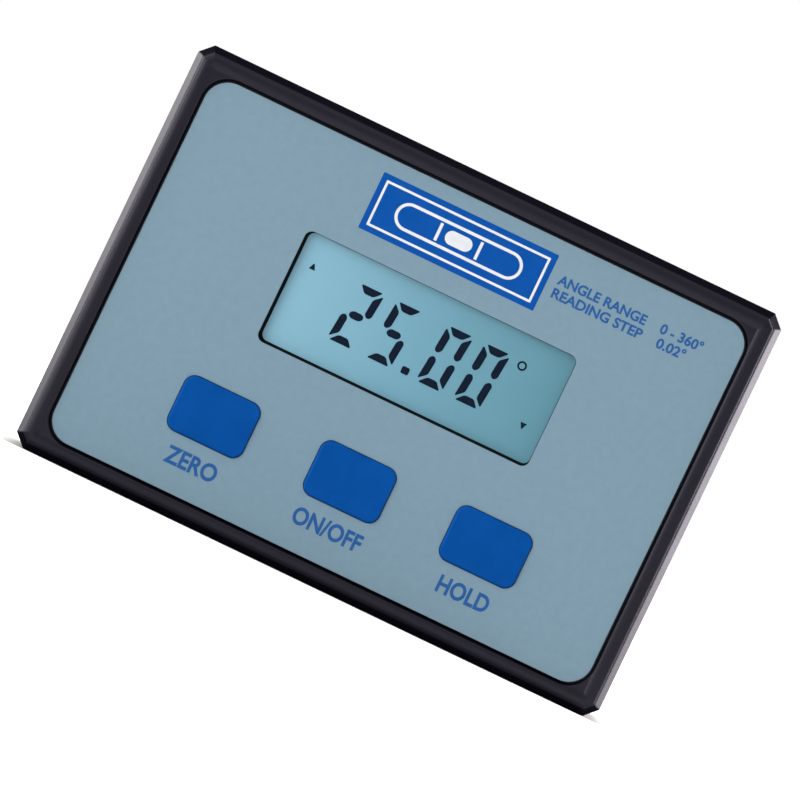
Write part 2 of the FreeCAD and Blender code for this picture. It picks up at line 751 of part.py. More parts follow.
def display():
    """The films and glasses of the display, from the front back."""
    width, height, rear_height = d.glass_width, d.glass_height, REAR_GLASS_HEIGHT
    film_width, film_height = width - d.film_margin * 2, rear_height - d.film_margin * 2
    return [
        display_layer("lcd_polarizer", GLASS_FACE, d.polarizer_thickness, film_width, film_height),
        display_layer("lcd_front_glass", GLASS_BACK, d.glass_thickness, width, height),
        display_layer("lcd_rear_glass", REAR_GLASS_BACK, d.glass_thickness, width, rear_height),
        display_layer("lcd_reflector", REFLECTOR_BACK, d.reflector_thickness, film_width, film_height),
    ]


def lcd_holder():
    """A moulded frame on the board: a seat for the glasses and a slot for each contact strip."""
    body = new_body("lcd_holder", d.display_shift, d.display_rise)
    seat_width, seat_height = d.glass_width + d.display_play * 2, d.glass_height + d.display_play * 2
    outline = front_sketch(body, BOARD_FACE)
    rounded_rectangle(outline, seat_width + d.holder_wall * 2, seat_height + d.holder_wall * 2, d.holder_wall)
    pad(body, outline, GLASS_BACK + d.holder_lip - BOARD_FACE)
    seat = front_sketch(body, GLASS_BACK + d.holder_lip)
    rectangle(seat, seat_width, seat_height)
    pocket(body, seat, d.holder_lip)
    rear_seat = front_sketch(body, GLASS_BACK)
    rectangle(rear_seat, seat_width, REAR_GLASS_HEIGHT + d.display_play * 2)
    pocket(body, rear_seat, GLASS_BACK - REFLECTOR_BACK)
    window = front_sketch(body, REFLECTOR_BACK)
    rectangle(window, seat_width - d.holder_shelf * 2, REAR_GLASS_HEIGHT - d.holder_shelf * 2)
    pocket(body, window, REFLECTOR_BACK - BOARD_FACE)
    slot = front_sketch(body, GLASS_BACK)
    rectangle(slot, d.glass_width - d.holder_shelf, d.zebra_width + d.display_play * 2, 0,
              d.glass_height / 2 - d.zebra_inset)
    repeat(body, [pocket(body, slot, GLASS_BACK - BOARD_FACE)], [("Mirrored", "XY_Plane", None, 2)])
    return body


def zebra_strips():
    body = new_body("zebra_strips", d.display_shift, d.display_rise)
    strip = front_sketch(body, BOARD_FACE)
    rectangle(strip, d.glass_width - d.holder_shelf - d.display_play * 2, d.zebra_width, 0,
              d.glass_height / 2 - d.zebra_inset)
    repeat(body, [pad(body, strip, GLASS_BACK - BOARD_FACE)], [("Mirrored", "XY_Plane", None, 2)])
    return body


def circuit_board():
    """The board, notched round the frame's corner blocks and sensor posts, with its screw and pin holes."""
    body = new_body("circuit_board")
    width, height = CAVITY_WIDTH - d.board_gap * 2, CAVITY_HEIGHT - d.board_gap * 2
    outline = front_sketch(body, BOARD_BACK)
    rounded_rectangle(outline, width, height, d.board_gap * 2)
    pad(body, outline, d.board_thickness)
    notch = front_sketch(body, BOARD_FACE)
    corner = d.corner_block + d.board_gap * 2
    rectangle(notch, corner, corner, BLOCK_MIDDLE_X, BLOCK_MIDDLE_Z)
    hole = front_sketch(body, BOARD_FACE)
    circle(hole, d.board_screw_diameter + d.display_play * 2, BOARD_SCREW_X, d.board_screw_rise)
    cuts = [pocket(body, notch, d.board_thickness), pocket(body, hole, d.board_thickness)]
    repeat(body, cuts, FOUR_WAYS)
    post_notch = front_sketch(body, BOARD_FACE)
    notch_length = height / 2 - POST_FOOT + d.board_gap * 2
    rectangle(post_notch, d.ear_width + d.board_gap * 2, notch_length, SENSOR_X,
              POST_FOOT - d.board_gap + notch_length / 2)
    repeat(body, [pocket(body, post_notch, d.board_thickness)], [("Mirrored", "XY_Plane", None, 2)])
    pins = front_sketch(body, BOARD_FACE)
    for place in pin_places():
        circle(pins, d.pin_diameter + d.display_play * 2, SENSOR_X + place, PIN_RISE)
    pocket(body, pins, d.board_thickness)
    return body


def pin_places():
    """Four pins in a row, beside the sensor's axis."""
    return [d.pin_shift + d.pin_pitch * (number - 1.5) for number in range(4)]


def headed_screw(body, shank, head, tip, underside, top, x, z):
    """A pan-head screw along Y whose head looks back, with a cross recess; gives back its features."""
    shank, head = shank / 2, head / 2
    bevel = d.edge_break
    screw = turned(body, [(0, tip), (shank - bevel, tip), (shank, tip - bevel), (shank, underside),
                          (head, underside), (head, top + bevel), (head - bevel, top), (0, top)], x, z)
    recess = front_sketch(body, top + (underside - top) / 2, x, z)
    cross(recess, head, head / 4)
    return [screw, pocket(body, recess, (underside - top) / 2)]


def board_screws():
    body = new_body("board_screws")
    tip = BOARD_FACE + d.board_screw_length - d.screw_tip_gap
    screw = headed_screw(body, d.board_screw_diameter, d.board_head_diameter, tip, BOARD_BACK,
                         BOARD_BACK - d.board_head_height, BOARD_SCREW_X, d.board_screw_rise)
    repeat(body, screw, FOUR_WAYS)
    return body


def sensor_screws():
    body = new_body("sensor_screws")
    tip = EAR_SEAT + d.sensor_screw_length - d.screw_tip_gap
    screw = headed_screw(body, d.sensor_screw_diameter, d.sensor_head_diameter, tip, LID_BACK,
                         LID_BACK - d.sensor_head_height, SENSOR_X, EAR_RADIUS)
    repeat(body, screw, [("Mirrored", "XY_Plane", None, 2)])
    return body


def cover_screws():
    """Countersunk screws, flush with the rear cover."""
    body = new_body("cover_screws")
    shank, head = d.cover_screw_diameter / 2, d.cover_head_diameter / 2 - d.cover_head_gap
    bevel = d.edge_break
    top = REAR + d.cover_head_sunk
    tip = FRAME_REAR + d.cover_screw_length - d.screw_tip_gap
    screw = turned(body, [(0, tip), (shank - bevel, tip), (shank, tip - bevel), (shank, top + (head - shank)),
                          (head, top), (0, top)], BLOCK_MIDDLE_X, BLOCK_MIDDLE_Z)
    recess = front_sketch(body, top + head / 2, BLOCK_MIDDLE_X, BLOCK_MIDDLE_Z)
    cross(recess, head, head / 4)
    repeat(body, [screw, pocket(body, recess, head / 2)], FOUR_WAYS)
    return body


def chip(label, x, z, width, height):
    """A chip's moulded body, bevelled, with a dimple at its first lead."""
    body = new_body(label, x, z)
    foot = BOARD_FACE + d.chip_standoff
    outline = front_sketch(body, foot)
    rectangle(outline, width, height)
    pad(body, outline, d.chip_thickness)
    top = foot + d.chip_thickness
    dress_edges(body, "Chamfer", d.edge_break, at_station(top))
    dimple = front_sketch(body, top)
    circle(dimple, d.dimple_diameter, d.dimple_inset - width / 2, height / 2 - d.dimple_inset)
    pocket(body, dimple, d.chip_standoff)
    return body


def gull_leads(label, x, z, side, pitch, count, turns):
    """Rows of bent leads round a chip: one lead's profile, repeated along a side and round the chip."""
    body = new_body(label, x, z)
    shoulder = d.chip_standoff + d.chip_thickness / 2
    sheet = d.lead_sheet
    knee, heel, toe = d.lead_reach * 0.25, d.lead_reach * 0.6, d.lead_reach
    inner = side / 2
    outline = [(inner, shoulder), (inner + knee, shoulder), (inner + heel, sheet), (inner + toe, sheet),
               (inner + toe, 0), (inner + heel - sheet, 0), (inner + knee - sheet, shoulder - sheet),
               (inner, shoulder - sheet)]
    row = pitch * (count - 1)
    profile = new_sketch(body, "XY_Plane", 0, 0, -row / 2 - d.lead_width / 2)
    polygon(profile, [(across, -(BOARD_FACE + rise)) for across, rise in outline])
    repeat(body, [pad(body, profile, d.lead_width)], [("LinearPattern", "Z_Axis", pitch, count)] + turns)
    return body


def crystal():
    """A metal can with round ends on a thin base flange."""
    body = new_body("crystal", RIGHT_COLUMN, d.crystal_rise)
    edge = d.crystal_flange
    flange = front_sketch(body, BOARD_FACE)
    rounded_rectangle(flange, d.crystal_length + edge * 2, d.crystal_width + edge * 2, d.crystal_width / 2)
    pad(body, flange, edge)
    can = front_sketch(body, BOARD_FACE + edge)
    rounded_rectangle(can, d.crystal_length, d.crystal_width, d.crystal_width * 0.47)
    pad(body, can, d.crystal_height - edge)
    dress_edges(body, "Fillet", d.crystal_round, at_station(BOARD_FACE + d.crystal_height))
    return body


def capacitor_bases():
    body = new_body("capacitor_bases", RIGHT_COLUMN, d.capacitor_rise - d.capacitor_pitch)
    outline = front_sketch(body, BOARD_FACE)
    rectangle(outline, d.capacitor_base_side, d.capacitor_base_side)
    base = pad(body, outline, d.capacitor_base_height)
    repeat(body, [base], [("LinearPattern", "Z_Axis", d.capacitor_pitch, 2)])
    return body


def capacitor_cans():
    """Aluminium cans with a crimped groove near the foot."""
    body = new_body("capacitor_cans", RIGHT_COLUMN, d.capacitor_rise - d.capacitor_pitch)
    groove = d.capacitor_groove
    radius = d.capacitor_diameter / 2
    foot = BOARD_FACE + d.capacitor_base_height
    low = foot + d.capacitor_groove_rise
    top = BOARD_FACE + d.capacitor_height
    can = turned(body, [(0, foot), (radius, foot), (radius, low), (radius - groove, low + groove),
                        (radius - groove, low + groove * 2), (radius, low + groove * 3),
                        (radius, top - groove), (radius - groove, top), (0, top)])
    repeat(body, [can], [("LinearPattern", "Z_Axis", d.capacitor_pitch, 2)])
    return body


def chip_resistors():
    body = new_body("chip_resistors", LEFT_COLUMN - d.resistor_pitch, d.resistor_rise - d.resistor_pitch)
    outline = front_sketch(body, BOARD_FACE)
    rectangle(outline, d.resistor_width, d.resistor_length)
    block = pad(body, outline, d.resistor_height)
    repeat(body, [block], [("LinearPattern", "X_Axis", d.resistor_pitch, 3),
                           ("LinearPattern", "Z_Axis", d.resistor_pitch, 2)])
    return body


def ear_outline(body, forward):
    """The upper ear of the sensor housing, from inside its wall to past its screw."""
    ear = front_sketch(body, forward)
    foot = d.sensor_radius - d.sensor_wall / 2
    length = EAR_RADIUS + d.ear_reach - foot
    rectangle(ear, d.ear_width, length, 0, foot + length / 2)
    return ear


def drill_ears(body, forward, depth):
    hole = front_sketch(body, forward)
    circle(hole, d.sensor_screw_diameter + d.display_play * 2, 0, EAR_RADIUS)
    repeat(body, [pocket(body, hole, depth)], [("Mirrored", "XY_Plane", None, 2)])


def sensor_cup():
    """A turned cup: bearing boss in its floor, ledge for the fixed board, two ears at the rim."""
    body = new_body("sensor_cup", SENSOR_X)
    outer, inner = d.sensor_radius, SENSOR_BORE
    ledge = inner - d.stator_ledge_width
    bore, boss = BEARING_BORE, BOSS_RADIUS
    boss_end = FRONT_BEARING - d.bearing_width
    turned(body, [(0, CUP_FRONT), (outer, CUP_FRONT), (outer, CUP_RIM), (inner, CUP_RIM),
                  (inner, STATOR_FACE), (ledge, STATOR_FACE), (ledge, CUP_FLOOR), (boss, CUP_FLOOR),
                  (boss, boss_end), (bore, boss_end), (bore, FRONT_BEARING), (0, FRONT_BEARING)])
    ear = pad(body, ear_outline(body, CUP_RIM), d.ear_thickness)
    repeat(body, [ear], [("Mirrored", "XY_Plane", None, 2)])
    drill_ears(body, EAR_SEAT, d.ear_thickness)
    pins = front_sketch(body, CUP_FRONT)
    for place in pin_places():
        circle(pins, d.pin_diameter + d.display_play * 2, place, PIN_RISE)
    pocket(body, pins, d.sensor_floor)
    return body


def sensor_lid():
    """The cup's lid, with the rear bearing's boss and seats for the two damping magnets."""
    body = new_body("sensor_lid", SENSOR_X)
    bore, boss, outer = BEARING_BORE, BOSS_RADIUS, d.sensor_radius
    turned(body, [(0, REAR_BEARING), (bore, REAR_BEARING), (bore, REAR_BOSS_END), (boss, REAR_BOSS_END),
                  (boss, CUP_RIM), (outer, CUP_RIM), (outer, LID_BACK), (0, LID_BACK)])
    ear = pad(body, ear_outline(body, LID_BACK), d.sensor_lid_thickness)
    repeat(body, [ear], [("Mirrored", "XY_Plane", None, 2)])
    drill_ears(body, CUP_RIM, d.sensor_lid_thickness)
    seats = front_sketch(body, CUP_RIM)
    for x, z in magnet_places():
        circle(seats, MAGNET_OUTER - MAGNET_INNER + d.display_play * 2, x, z)
    pocket(body, seats, d.damping_magnet_seat)
    return body


def magnet_places():
    """Two magnets behind the hanging weight, 45 degrees to either side of straight down."""
    reach = (MAGNET_INNER + MAGNET_OUTER) / 2 * math.cos(math.radians(45))
    return [(reach, -reach), (-reach, -reach)]


def damping_magnets():
    body = new_body("damping_magnets", SENSOR_X)
    reach, drop = magnet_places()[0]
    edge, radius = d.edge_break, (MAGNET_OUTER - MAGNET_INNER) / 2
    disc = turned(body, [(0, MAGNET_SEAT), (radius, MAGNET_SEAT), (radius, MAGNET_FACE - edge),
                         (radius - edge, MAGNET_FACE), (0, MAGNET_FACE)], reach, drop)
    repeat(body, [disc], [("Mirrored", "YZ_Plane", None, 2)])
    return body


def stator_board():
    """The fixed sensing board: a thin ring on the cup's ledge."""
    body = new_body("stator_board", SENSOR_X)
    outline = front_sketch(body, STATOR_BACK)
    circle(outline, (SENSOR_BORE - d.display_play) * 2)
    circle(outline, d.stator_bore)
    pad(body, outline, d.stator_thickness)
    return body


def sensor_pins():
    """Pins from the fixed board through the cup's floor into the circuit board."""
    body = new_body("sensor_pins", SENSOR_X)
    row = front_sketch(body, STATOR_FACE)
    for place in pin_places():
        circle(row, d.pin_diameter, place, PIN_RISE)
    pad(body, row, BOARD_FACE + d.pin_tail - STATOR_FACE)
    return body


def bearing(label, front):
    """A small ring bearing; the shaft runs in its bore."""
    body = new_body(label, SENSOR_X)
    bore = d.shaft_diameter / 2 + d.running_clearance
    outer = d.bearing_diameter / 2
    back = front - d.bearing_width
    edge = d.edge_break
    turned(body, [(bore, front), (outer - edge, front), (outer, front - edge), (outer, back + edge),
                  (outer - edge, back), (bore, back)])
    return body


def pendulum_shaft():
    body = new_body("pendulum_shaft", SENSOR_X)
    radius = d.shaft_diameter / 2
    front, back = FRONT_BEARING - d.shaft_end_play, REAR_BEARING + d.shaft_end_play
    edge = d.edge_break
    turned(body, [(0, front), (radius - edge, front), (radius, front - edge), (radius, back + edge),
                  (radius - edge, back), (0, back)])
    return body


def ring(label, outer, front, back):
    """A plain ring fixed on the pendulum's shaft."""
    body = new_body(label, SENSOR_X)
    bore = d.shaft_diameter / 2
    turned(body, [(bore, front), (outer, front), (outer, back), (bore, back)])
    return body


def pendulum_weight():
    """A brass half disc on a hub: it always hangs below the shaft, whichever way the level leans."""
    body = new_body("pendulum_weight", SENSOR_X)
    hub = front_sketch(body, HUB_BACK)
    circle(hub, d.hub_radius * 2)
    circle(hub, d.shaft_diameter)
    pad(body, hub, ROTOR_BACK - HUB_BACK)
    disc = front_sketch(body, WEIGHT_BACK)
    half_disc(disc, WEIGHT_RADIUS)
    pad(body, disc, WEIGHT_FACE - WEIGHT_BACK)
    bore = front_sketch(body, ROTOR_BACK)
    circle(bore, d.shaft_diameter)
    pocket(body, bore, ROTOR_BACK - HUB_BACK)
    return body


def half_disc(sketch, radius):
    """The lower half of a disc about the sketch's origin."""
    reach = radius.value
    sketch.addGeometry(Part.LineSegment(FreeCAD.Vector(reach, 0, 0), FreeCAD.Vector(-reach, 0, 0)), False)
    ring_line = Part.Circle(FreeCAD.Vector(0, 0, 0), FreeCAD.Vector(0, 0, 1), reach)
    sketch.addGeometry(Part.ArcOfCircle(ring_line, math.pi, 2 * math.pi), False)
    sketch.addConstraint(Sketcher.Constraint("Coincident", 0, 2, 1, 1))
    sketch.addConstraint(Sketcher.Constraint("Coincident", 1, 2, 0, 1))
    sketch.addConstraint(Sketcher.Constraint("Horizontal", 0))
    sketch.addConstraint(Sketcher.Constraint("PointOnObject", 0, 1, -1))
    pin_down(sketch, 1, 3, 0, 0)
    size = sketch.addConstraint(Sketcher.Constraint("Radius", 1, reach))
    bind(sketch, f"Constraints[{size}]", radius)


def rear_cover():
    """The moulded cover with the battery well on its inside and the door's channel on its outside."""
    body = new_body("rear_cover")
    outline = front_sketch(body, REAR)
    rounded_rectangle(outline, COVER_WIDTH, COVER_HEIGHT, d.cover_radius)
    pad(body, outline, d.cover_thickness)
    dress_edges(body, "Fillet", d.cover_round, at_station(REAR))
    well = front_sketch(body, FRAME_REAR)
    rounded_rectangle(well, WELL_WIDTH + d.well_wall * 2, WELL_LENGTH + d.well_wall * 2, d.well_wall, WELL_X)
    pad(body, well, WELL_FACE - FRAME_REAR)
    inside = front_sketch(body, WELL_FLOOR)
    rectangle(inside, WELL_WIDTH, WELL_LENGTH, WELL_X)
    pocket(body, inside, WELL_FLOOR - REAR)
    cut_door_channel(body)
    notch_well(body)
    sink_cover_screws(body)
    return body


def cut_door_channel(body):
    """A wide groove under two lips, open at the cover's top edge, for the sliding door."""
    top = COVER_HEIGHT / 2 + d.cover_round
    foot = DOOR_FOOT - d.door_side_gap
    for station, back, width in ((CHANNEL_FLOOR, LIP_INSIDE, DOOR_WIDTH + d.door_tongue * 2),
                                 (LIP_INSIDE, REAR, DOOR_WIDTH)):
        channel = front_sketch(body, station)
        rectangle(channel, width + d.door_side_gap * 2, top - foot, WELL_X, (top + foot) / 2)
        pocket(body, channel, station - back)


def notch_well(body):
    """An opening in the well's wall, where the battery leads leave."""
    notch = front_sketch(body, BATTERY_FACE)
    wall_middle = WELL_X - WELL_WIDTH / 2 - d.well_wall / 2
    lead_room = d.snap_thickness + d.snap_play * 2
    rectangle(notch, d.well_wall * 1.5, lead_room, wall_middle, SNAP_FOOT + d.snap_thickness / 2)
    pocket(body, notch, d.battery_depth - d.pad_thickness)


def sink_cover_screws(body):
    """Countersunk holes at the corner blocks."""
    hole = front_sketch(body, FRAME_REAR)
    circle(hole, d.cover_screw_diameter + d.display_play * 2, BLOCK_MIDDLE_X, BLOCK_MIDDLE_Z)
    drilled = pocket(body, hole, d.cover_thickness)
    cone = side_of_axis_sketch(body, BLOCK_MIDDLE_X, BLOCK_MIDDLE_Z)
    head, shank = d.cover_head_diameter / 2, d.cover_screw_diameter / 2
    polygon(cone, [(0, -REAR), (head, -REAR), (shank, -(REAR + head - shank)), (0, -(REAR + head - shank))])
    sunk = body.newObject("PartDesign::Groove", "rear_cover_countersink")
    sunk.Profile = cone
    sunk.ReferenceAxis = (cone, ["V_Axis"])
    sunk.Angle = 360.0
    repeat(body, [drilled, sunk], FOUR_WAYS)


def battery_door():
    """The sliding door: a thick middle between two tongues, with grooves for the thumb."""
    body = new_body("battery_door", WELL_X)
    length = COVER_HEIGHT / 2 - DOOR_FOOT
    middle = DOOR_FOOT + length / 2
    tongues = front_sketch(body, TONGUE_BACK)
    rectangle(tongues, DOOR_WIDTH + d.door_tongue * 2, length, 0, middle)
    pad(body, tongues, d.door_tongue_thickness)
    plate = front_sketch(body, REAR)
    rectangle(plate, DOOR_WIDTH, length, 0, middle)
    pad(body, plate, TONGUE_BACK - REAR)
    groove = front_sketch(body, REAR + d.grip_depth)
    rounded_rectangle(groove, d.grip_width, d.grip_groove, d.grip_groove * 0.45, 0, DOOR_FOOT + d.grip_rise)
    cut = pocket(body, groove, d.grip_depth)
    repeat(body, [cut], [("LinearPattern", "Z_Axis", d.grip_pitch, 6)])
    return body


def battery():
    body = new_body("battery", WELL_X)
    outline = new_sketch(body, "XY_Plane", 0, -BATTERY_MIDDLE, BATTERY_FOOT)
    rounded_rectangle(outline, d.battery_width, d.battery_depth, d.battery_radius)
    pad(body, outline, d.battery_length)

    def at_end(edge):
        low, high = edge.BoundBox.ZMin, edge.BoundBox.ZMax
        ends = (BATTERY_FOOT.value, BATTERY_TOP.value)
        return any(abs(low - end) + abs(high - end) < 0.01 for end in ends)

    dress_edges(body, "Fillet", d.battery_end_round, at_end)
    return body


def stud_outline(foot, up):
    """A snap stud from its foot, up or down: a neck under a wider head."""
    head = d.stud_diameter / 2
    neck = head - d.stud_neck
    height = d.terminal_height * up
    return [(0, foot), (neck, foot), (neck, foot + height * 0.4), (head, foot + height * 0.55),
            (head, foot + height * 0.9), (head - d.edge_break, foot + height), (0, foot + height)]


def socket_outline(foot, up):
    """A snap socket from its foot, up or down: a ring that takes the stud."""
    inner = d.stud_diameter / 2 + d.snap_play
    outer = inner + d.socket_wall
    height = d.terminal_height * up
    return [(inner, foot), (outer, foot), (outer, foot + height), (inner, foot + height)]


def snap_pair(label, foot, up, stud_side):
    """A stud and a socket side by side on the battery or, turned over, on its connector."""
    body = new_body(label, WELL_X)
    reach = d.terminal_spacing / 2
    turned_upright(body, stud_outline(foot, up), reach * stud_side, -BATTERY_MIDDLE)
    turned_upright(body, socket_outline(foot, up), -reach * stud_side, -BATTERY_MIDDLE)
    return body


def battery_snap():
    """The connector's moulded strip over the battery's terminals."""
    body = new_body("battery_snap", WELL_X)
    outline = new_sketch(body, "XY_Plane", 0, -BATTERY_MIDDLE, SNAP_FOOT)
    rounded_rectangle(outline, d.terminal_spacing + d.snap_end * 2, d.snap_width, d.snap_width * 0.45)
    pad(body, outline, d.snap_thickness)
    return body


def battery_foam():
    """Foam on the well's floor that keeps the battery from rattling."""
    body = new_body("battery_foam", WELL_X)
    outline = front_sketch(body, BATTERY_FACE)
    rectangle(outline, d.battery_width - d.battery_radius * 2, d.battery_length - d.battery_radius * 2, 0,
              (BATTERY_FOOT + BATTERY_TOP) / 2)
    pad(body, outline, d.pad_thickness)
    return body


def lead_connector():
    """The plug on the back of the circuit board where both battery leads end."""
    body = new_body("lead_connector", d.connector_shift, -d.connector_drop)
    outline = front_sketch(body, BOARD_BACK - d.connector_height)
    rectangle(outline, d.connector_width, d.connector_depth)
    pad(body, outline, d.connector_height)
    dress_edges(body, "Chamfer", d.edge_break, at_station(BOARD_BACK - d.connector_height))
    return body


def lead(label, route):
    """A battery lead: straight runs joined by tangent arcs, each as large as its two runs allow."""
    corners = [FreeCAD.Vector(x, -forward, MIDDLE.value + z) for x, z, forward in route]
    edges = []
    radii = []
    start = corners[0]
    for before, corner, after in zip(corners, corners[1:], corners[2:]):
        inward, outward = (before - corner), (after - corner)
        shorter = min(inward.Length, outward.Length)
        inward.normalize()
        outward.normalize()
        half_turn = (math.pi - inward.getAngle(outward)) / 2
        trim = 0.45 * shorter
        radius = trim / math.tan(half_turn)
        radii.append(round(radius, 1))
        enter, leave = corner + inward * trim, corner + outward * trim
        bisector = (inward + outward).normalize()
        to_centre = radius / math.cos(half_turn)
        middle = corner + bisector * (to_centre - radius)
        edges += [Part.LineSegment(start, enter).toShape(), Part.Arc(enter, middle, leave).toShape()]
        start = leave
    edges.append(Part.LineSegment(start, corners[-1]).toShape())
    path = Part.Wire(edges)
    section = Part.Wire(Part.makeCircle(d.lead_diameter.value / 2, corners[0], corners[1] - corners[0]))
    tube = path.makePipeShell([section], True, False)
    expected = math.pi * (d.lead_diameter.value / 2) ** 2 * path.Length
    print(label, "length", round(path.Length, 1), "radii", radii)
    print(label, "volume against a straight lead's", round(tube.Volume / expected, 4))
    feature = doc.addObject("Part::Feature", label)
    feature.Label = label
    feature.Shape = tube
    return feature


# Corner points of the leads' routes: X, height from the face's middle, station forward.
RED_ROUTE = [(9.4, 22.9, -4.6), (3.6, 22.8, -4.9), (3.2, 14.2, -6.2), (3.9, -1.5, -5.4), (3.1, -14.0, -6.0),
             (3.25, -24.0, -4.9), (3.25, -24.0, 1.8)]
BLACK_ROUTE = [(9.4, 22.9, -6.6), (1.1, 23.2, -6.9), (1.3, 11.6, -5.6), (0.6, -3.0, -6.4), (1.2, -15.5, -5.5),
               (0.75, -24.0, -6.0), (0.75, -24.0, 1.8)]


def build():
    """Make every piece of the level and hand them back."""
    pieces = [frame(), base_magnets(), panel_layer("front_plate", PLATE_FACE, d.plate_thickness),
              panel_layer("front_overlay", PANEL_FACE, d.overlay_thickness)]
    for number, name in enumerate(("zero", "on_off", "hold")):
        place = d.key_row_shift + d.key_pitch * (number - 1)
        pieces += [key(f"{name}_key", place), plunger(f"{name}_plunger", place)]
    pieces += [switch_bases(), switch_covers(), *display(), lcd_holder(), zebra_strips(), circuit_board(),
               board_screws()]
    processor_at = (LEFT_COLUMN, d.processor_rise)
    amplifier_at = (LEFT_COLUMN, d.amplifier_rise)
    pieces += [chip("processor", *processor_at, d.processor_side, d.processor_side),
               gull_leads("processor_leads", *processor_at, d.processor_side, d.processor_pitch,
                          PROCESSOR_LEAD_COUNT, [("PolarPattern", "Y_Axis", 360.0, 4)]),
               chip("amplifier", *amplifier_at, d.amplifier_width, d.amplifier_length),
               gull_leads("amplifier_leads", *amplifier_at, d.amplifier_width, d.amplifier_pitch,
                          AMPLIFIER_LEAD_COUNT, [("Mirrored", "YZ_Plane", None, 2)]),
               crystal(), capacitor_bases(), capacitor_cans(), chip_resistors()]
    pieces += [sensor_cup(), sensor_lid(), sensor_screws(), damping_magnets(), stator_board(), sensor_pins(),
               bearing("front_bearing", FRONT_BEARING), bearing("rear_bearing", REAR_BOSS_END),
               pendulum_shaft(), ring("rotor_disc", ROTOR_RADIUS, ROTOR_FACE, ROTOR_BACK), pendulum_weight(),
               ring("pendulum_collar", d.collar_radius, HUB_BACK, COLLAR_BACK)]
    pieces += [rear_cover(), cover_screws(), battery_door(), battery(), battery_snap(), battery_foam(),
               snap_pair("battery_terminals", BATTERY_TOP, 1, 1),
               snap_pair("snap_contacts", SNAP_FOOT, -1, -1), lead_connector(),
               lead("battery_lead_red", RED_ROUTE), lead("battery_lead_black", BLACK_ROUTE)]
    doc.recompute()
    return pieces


def check(pieces):
    """Stop if any object failed, or any piece is empty or not a valid solid."""
    for item in doc.Objects:
        if "Invalid" in item.State or "Error" in item.State:
            raise RuntimeError(f"{item.Label} failed: {item.State}")
    for piece in pieces:
        if piece.Shape.isNull() or not piece.Shape.isValid() or not piece.Shape.Solids:
            raise RuntimeError(f"{piece.Label} is not a valid solid")


def export(pieces):
    os.makedirs("parts", exist_ok=True)
    for piece in pieces:
        piece.Shape.exportStep(os.path.join("parts", f"{piece.Label}.step"))
        print(piece.Label, len(piece.Shape.Solids), "solids", round(piece.Shape.Volume, 1), "mm3")
        print("    ", piece.Shape.BoundBox)


level = build()
check(level)
export(level)
print(len(level), "pieces")
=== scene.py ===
# %% [markdown]
# # A digital spirit level
# A pocket level that reads its own tilt: a black metal frame with four measuring faces, a blue-grey front
# panel with three keys, and a small liquid crystal display. The rigid pieces come ready made, at their true
# size, so this lesson dresses them: finishes, ink, the reading on the display, light and camera.
# Everything is in metres, so millimetres get a name of their own.

# %% Load the pieces and measure them
import json
import math

import bmesh
import bpy
from mathutils import Matrix, Vector
from mathutils import noise as turbulence


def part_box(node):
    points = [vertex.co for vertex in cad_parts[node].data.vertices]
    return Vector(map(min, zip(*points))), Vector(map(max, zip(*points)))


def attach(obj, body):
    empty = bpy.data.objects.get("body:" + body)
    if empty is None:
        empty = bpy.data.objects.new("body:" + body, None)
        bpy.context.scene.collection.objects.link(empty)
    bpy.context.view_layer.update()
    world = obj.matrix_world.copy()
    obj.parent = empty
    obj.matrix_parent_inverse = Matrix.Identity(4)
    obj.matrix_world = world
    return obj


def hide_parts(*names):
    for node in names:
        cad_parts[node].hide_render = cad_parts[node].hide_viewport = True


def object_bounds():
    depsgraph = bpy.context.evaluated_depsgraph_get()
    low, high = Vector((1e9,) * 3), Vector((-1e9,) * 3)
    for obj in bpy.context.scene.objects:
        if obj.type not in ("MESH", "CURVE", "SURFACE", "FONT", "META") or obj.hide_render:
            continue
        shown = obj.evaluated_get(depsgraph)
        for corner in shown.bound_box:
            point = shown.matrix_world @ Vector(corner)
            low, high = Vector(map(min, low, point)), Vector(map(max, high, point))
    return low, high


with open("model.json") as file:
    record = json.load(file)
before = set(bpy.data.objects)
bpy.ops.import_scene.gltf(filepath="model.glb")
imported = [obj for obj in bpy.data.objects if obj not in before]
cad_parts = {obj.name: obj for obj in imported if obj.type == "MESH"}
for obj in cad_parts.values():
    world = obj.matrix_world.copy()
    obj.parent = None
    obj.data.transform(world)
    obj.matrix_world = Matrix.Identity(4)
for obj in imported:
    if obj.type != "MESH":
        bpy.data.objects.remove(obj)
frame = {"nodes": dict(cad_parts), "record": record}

MM = 0.001
made_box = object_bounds()
made_size = made_box[1] - made_box[0]
print("pieces:", len(frame["nodes"]), "size in mm:", [round(side / MM, 1) for side in made_size])

# %% [markdown]
# A finish on a real product is never one flat colour. Ink layers drift a little in shade, mouldings carry a
# fine grain, and gloss comes and goes. Each finish below is one Principled shader fed by noise that is laid
# out in the object's own coordinates, so that it stays put when a piece moves. Three small helpers make a
# node, an empty finish and a cloud of noise. Values that are the same everywhere go straight onto the
# shader's sockets.

# %% Helpers: one node, one blank finish
FINISHES = {}


def add_node(tree, kind, inputs=None, **settings):
    """Add a shader node, set its choices, and fill or link its inputs."""
    node = tree.nodes.new(kind)
    for name, value in settings.items():
        setattr(node, name, value)
    for name, value in (inputs or {}).items():
        if isinstance(value, bpy.types.NodeSocket):
            tree.links.new(value, node.inputs[name])
        else:
            node.inputs[name].default_value = value
    return node


def blank_finish(name, **sockets):
    """Keep a new material in FINISHES, and give its node tree, its shader and object coordinates."""
    material = bpy.data.materials.new(name)
    material.use_nodes = True
    FINISHES[name] = material
    tree = material.node_tree
    shader = tree.nodes["Principled BSDF"]
    for socket, value in sockets.items():
        shader.inputs[socket].default_value = value
    place = add_node(tree, "ShaderNodeTexCoord").outputs["Object"]
    return tree, shader, place


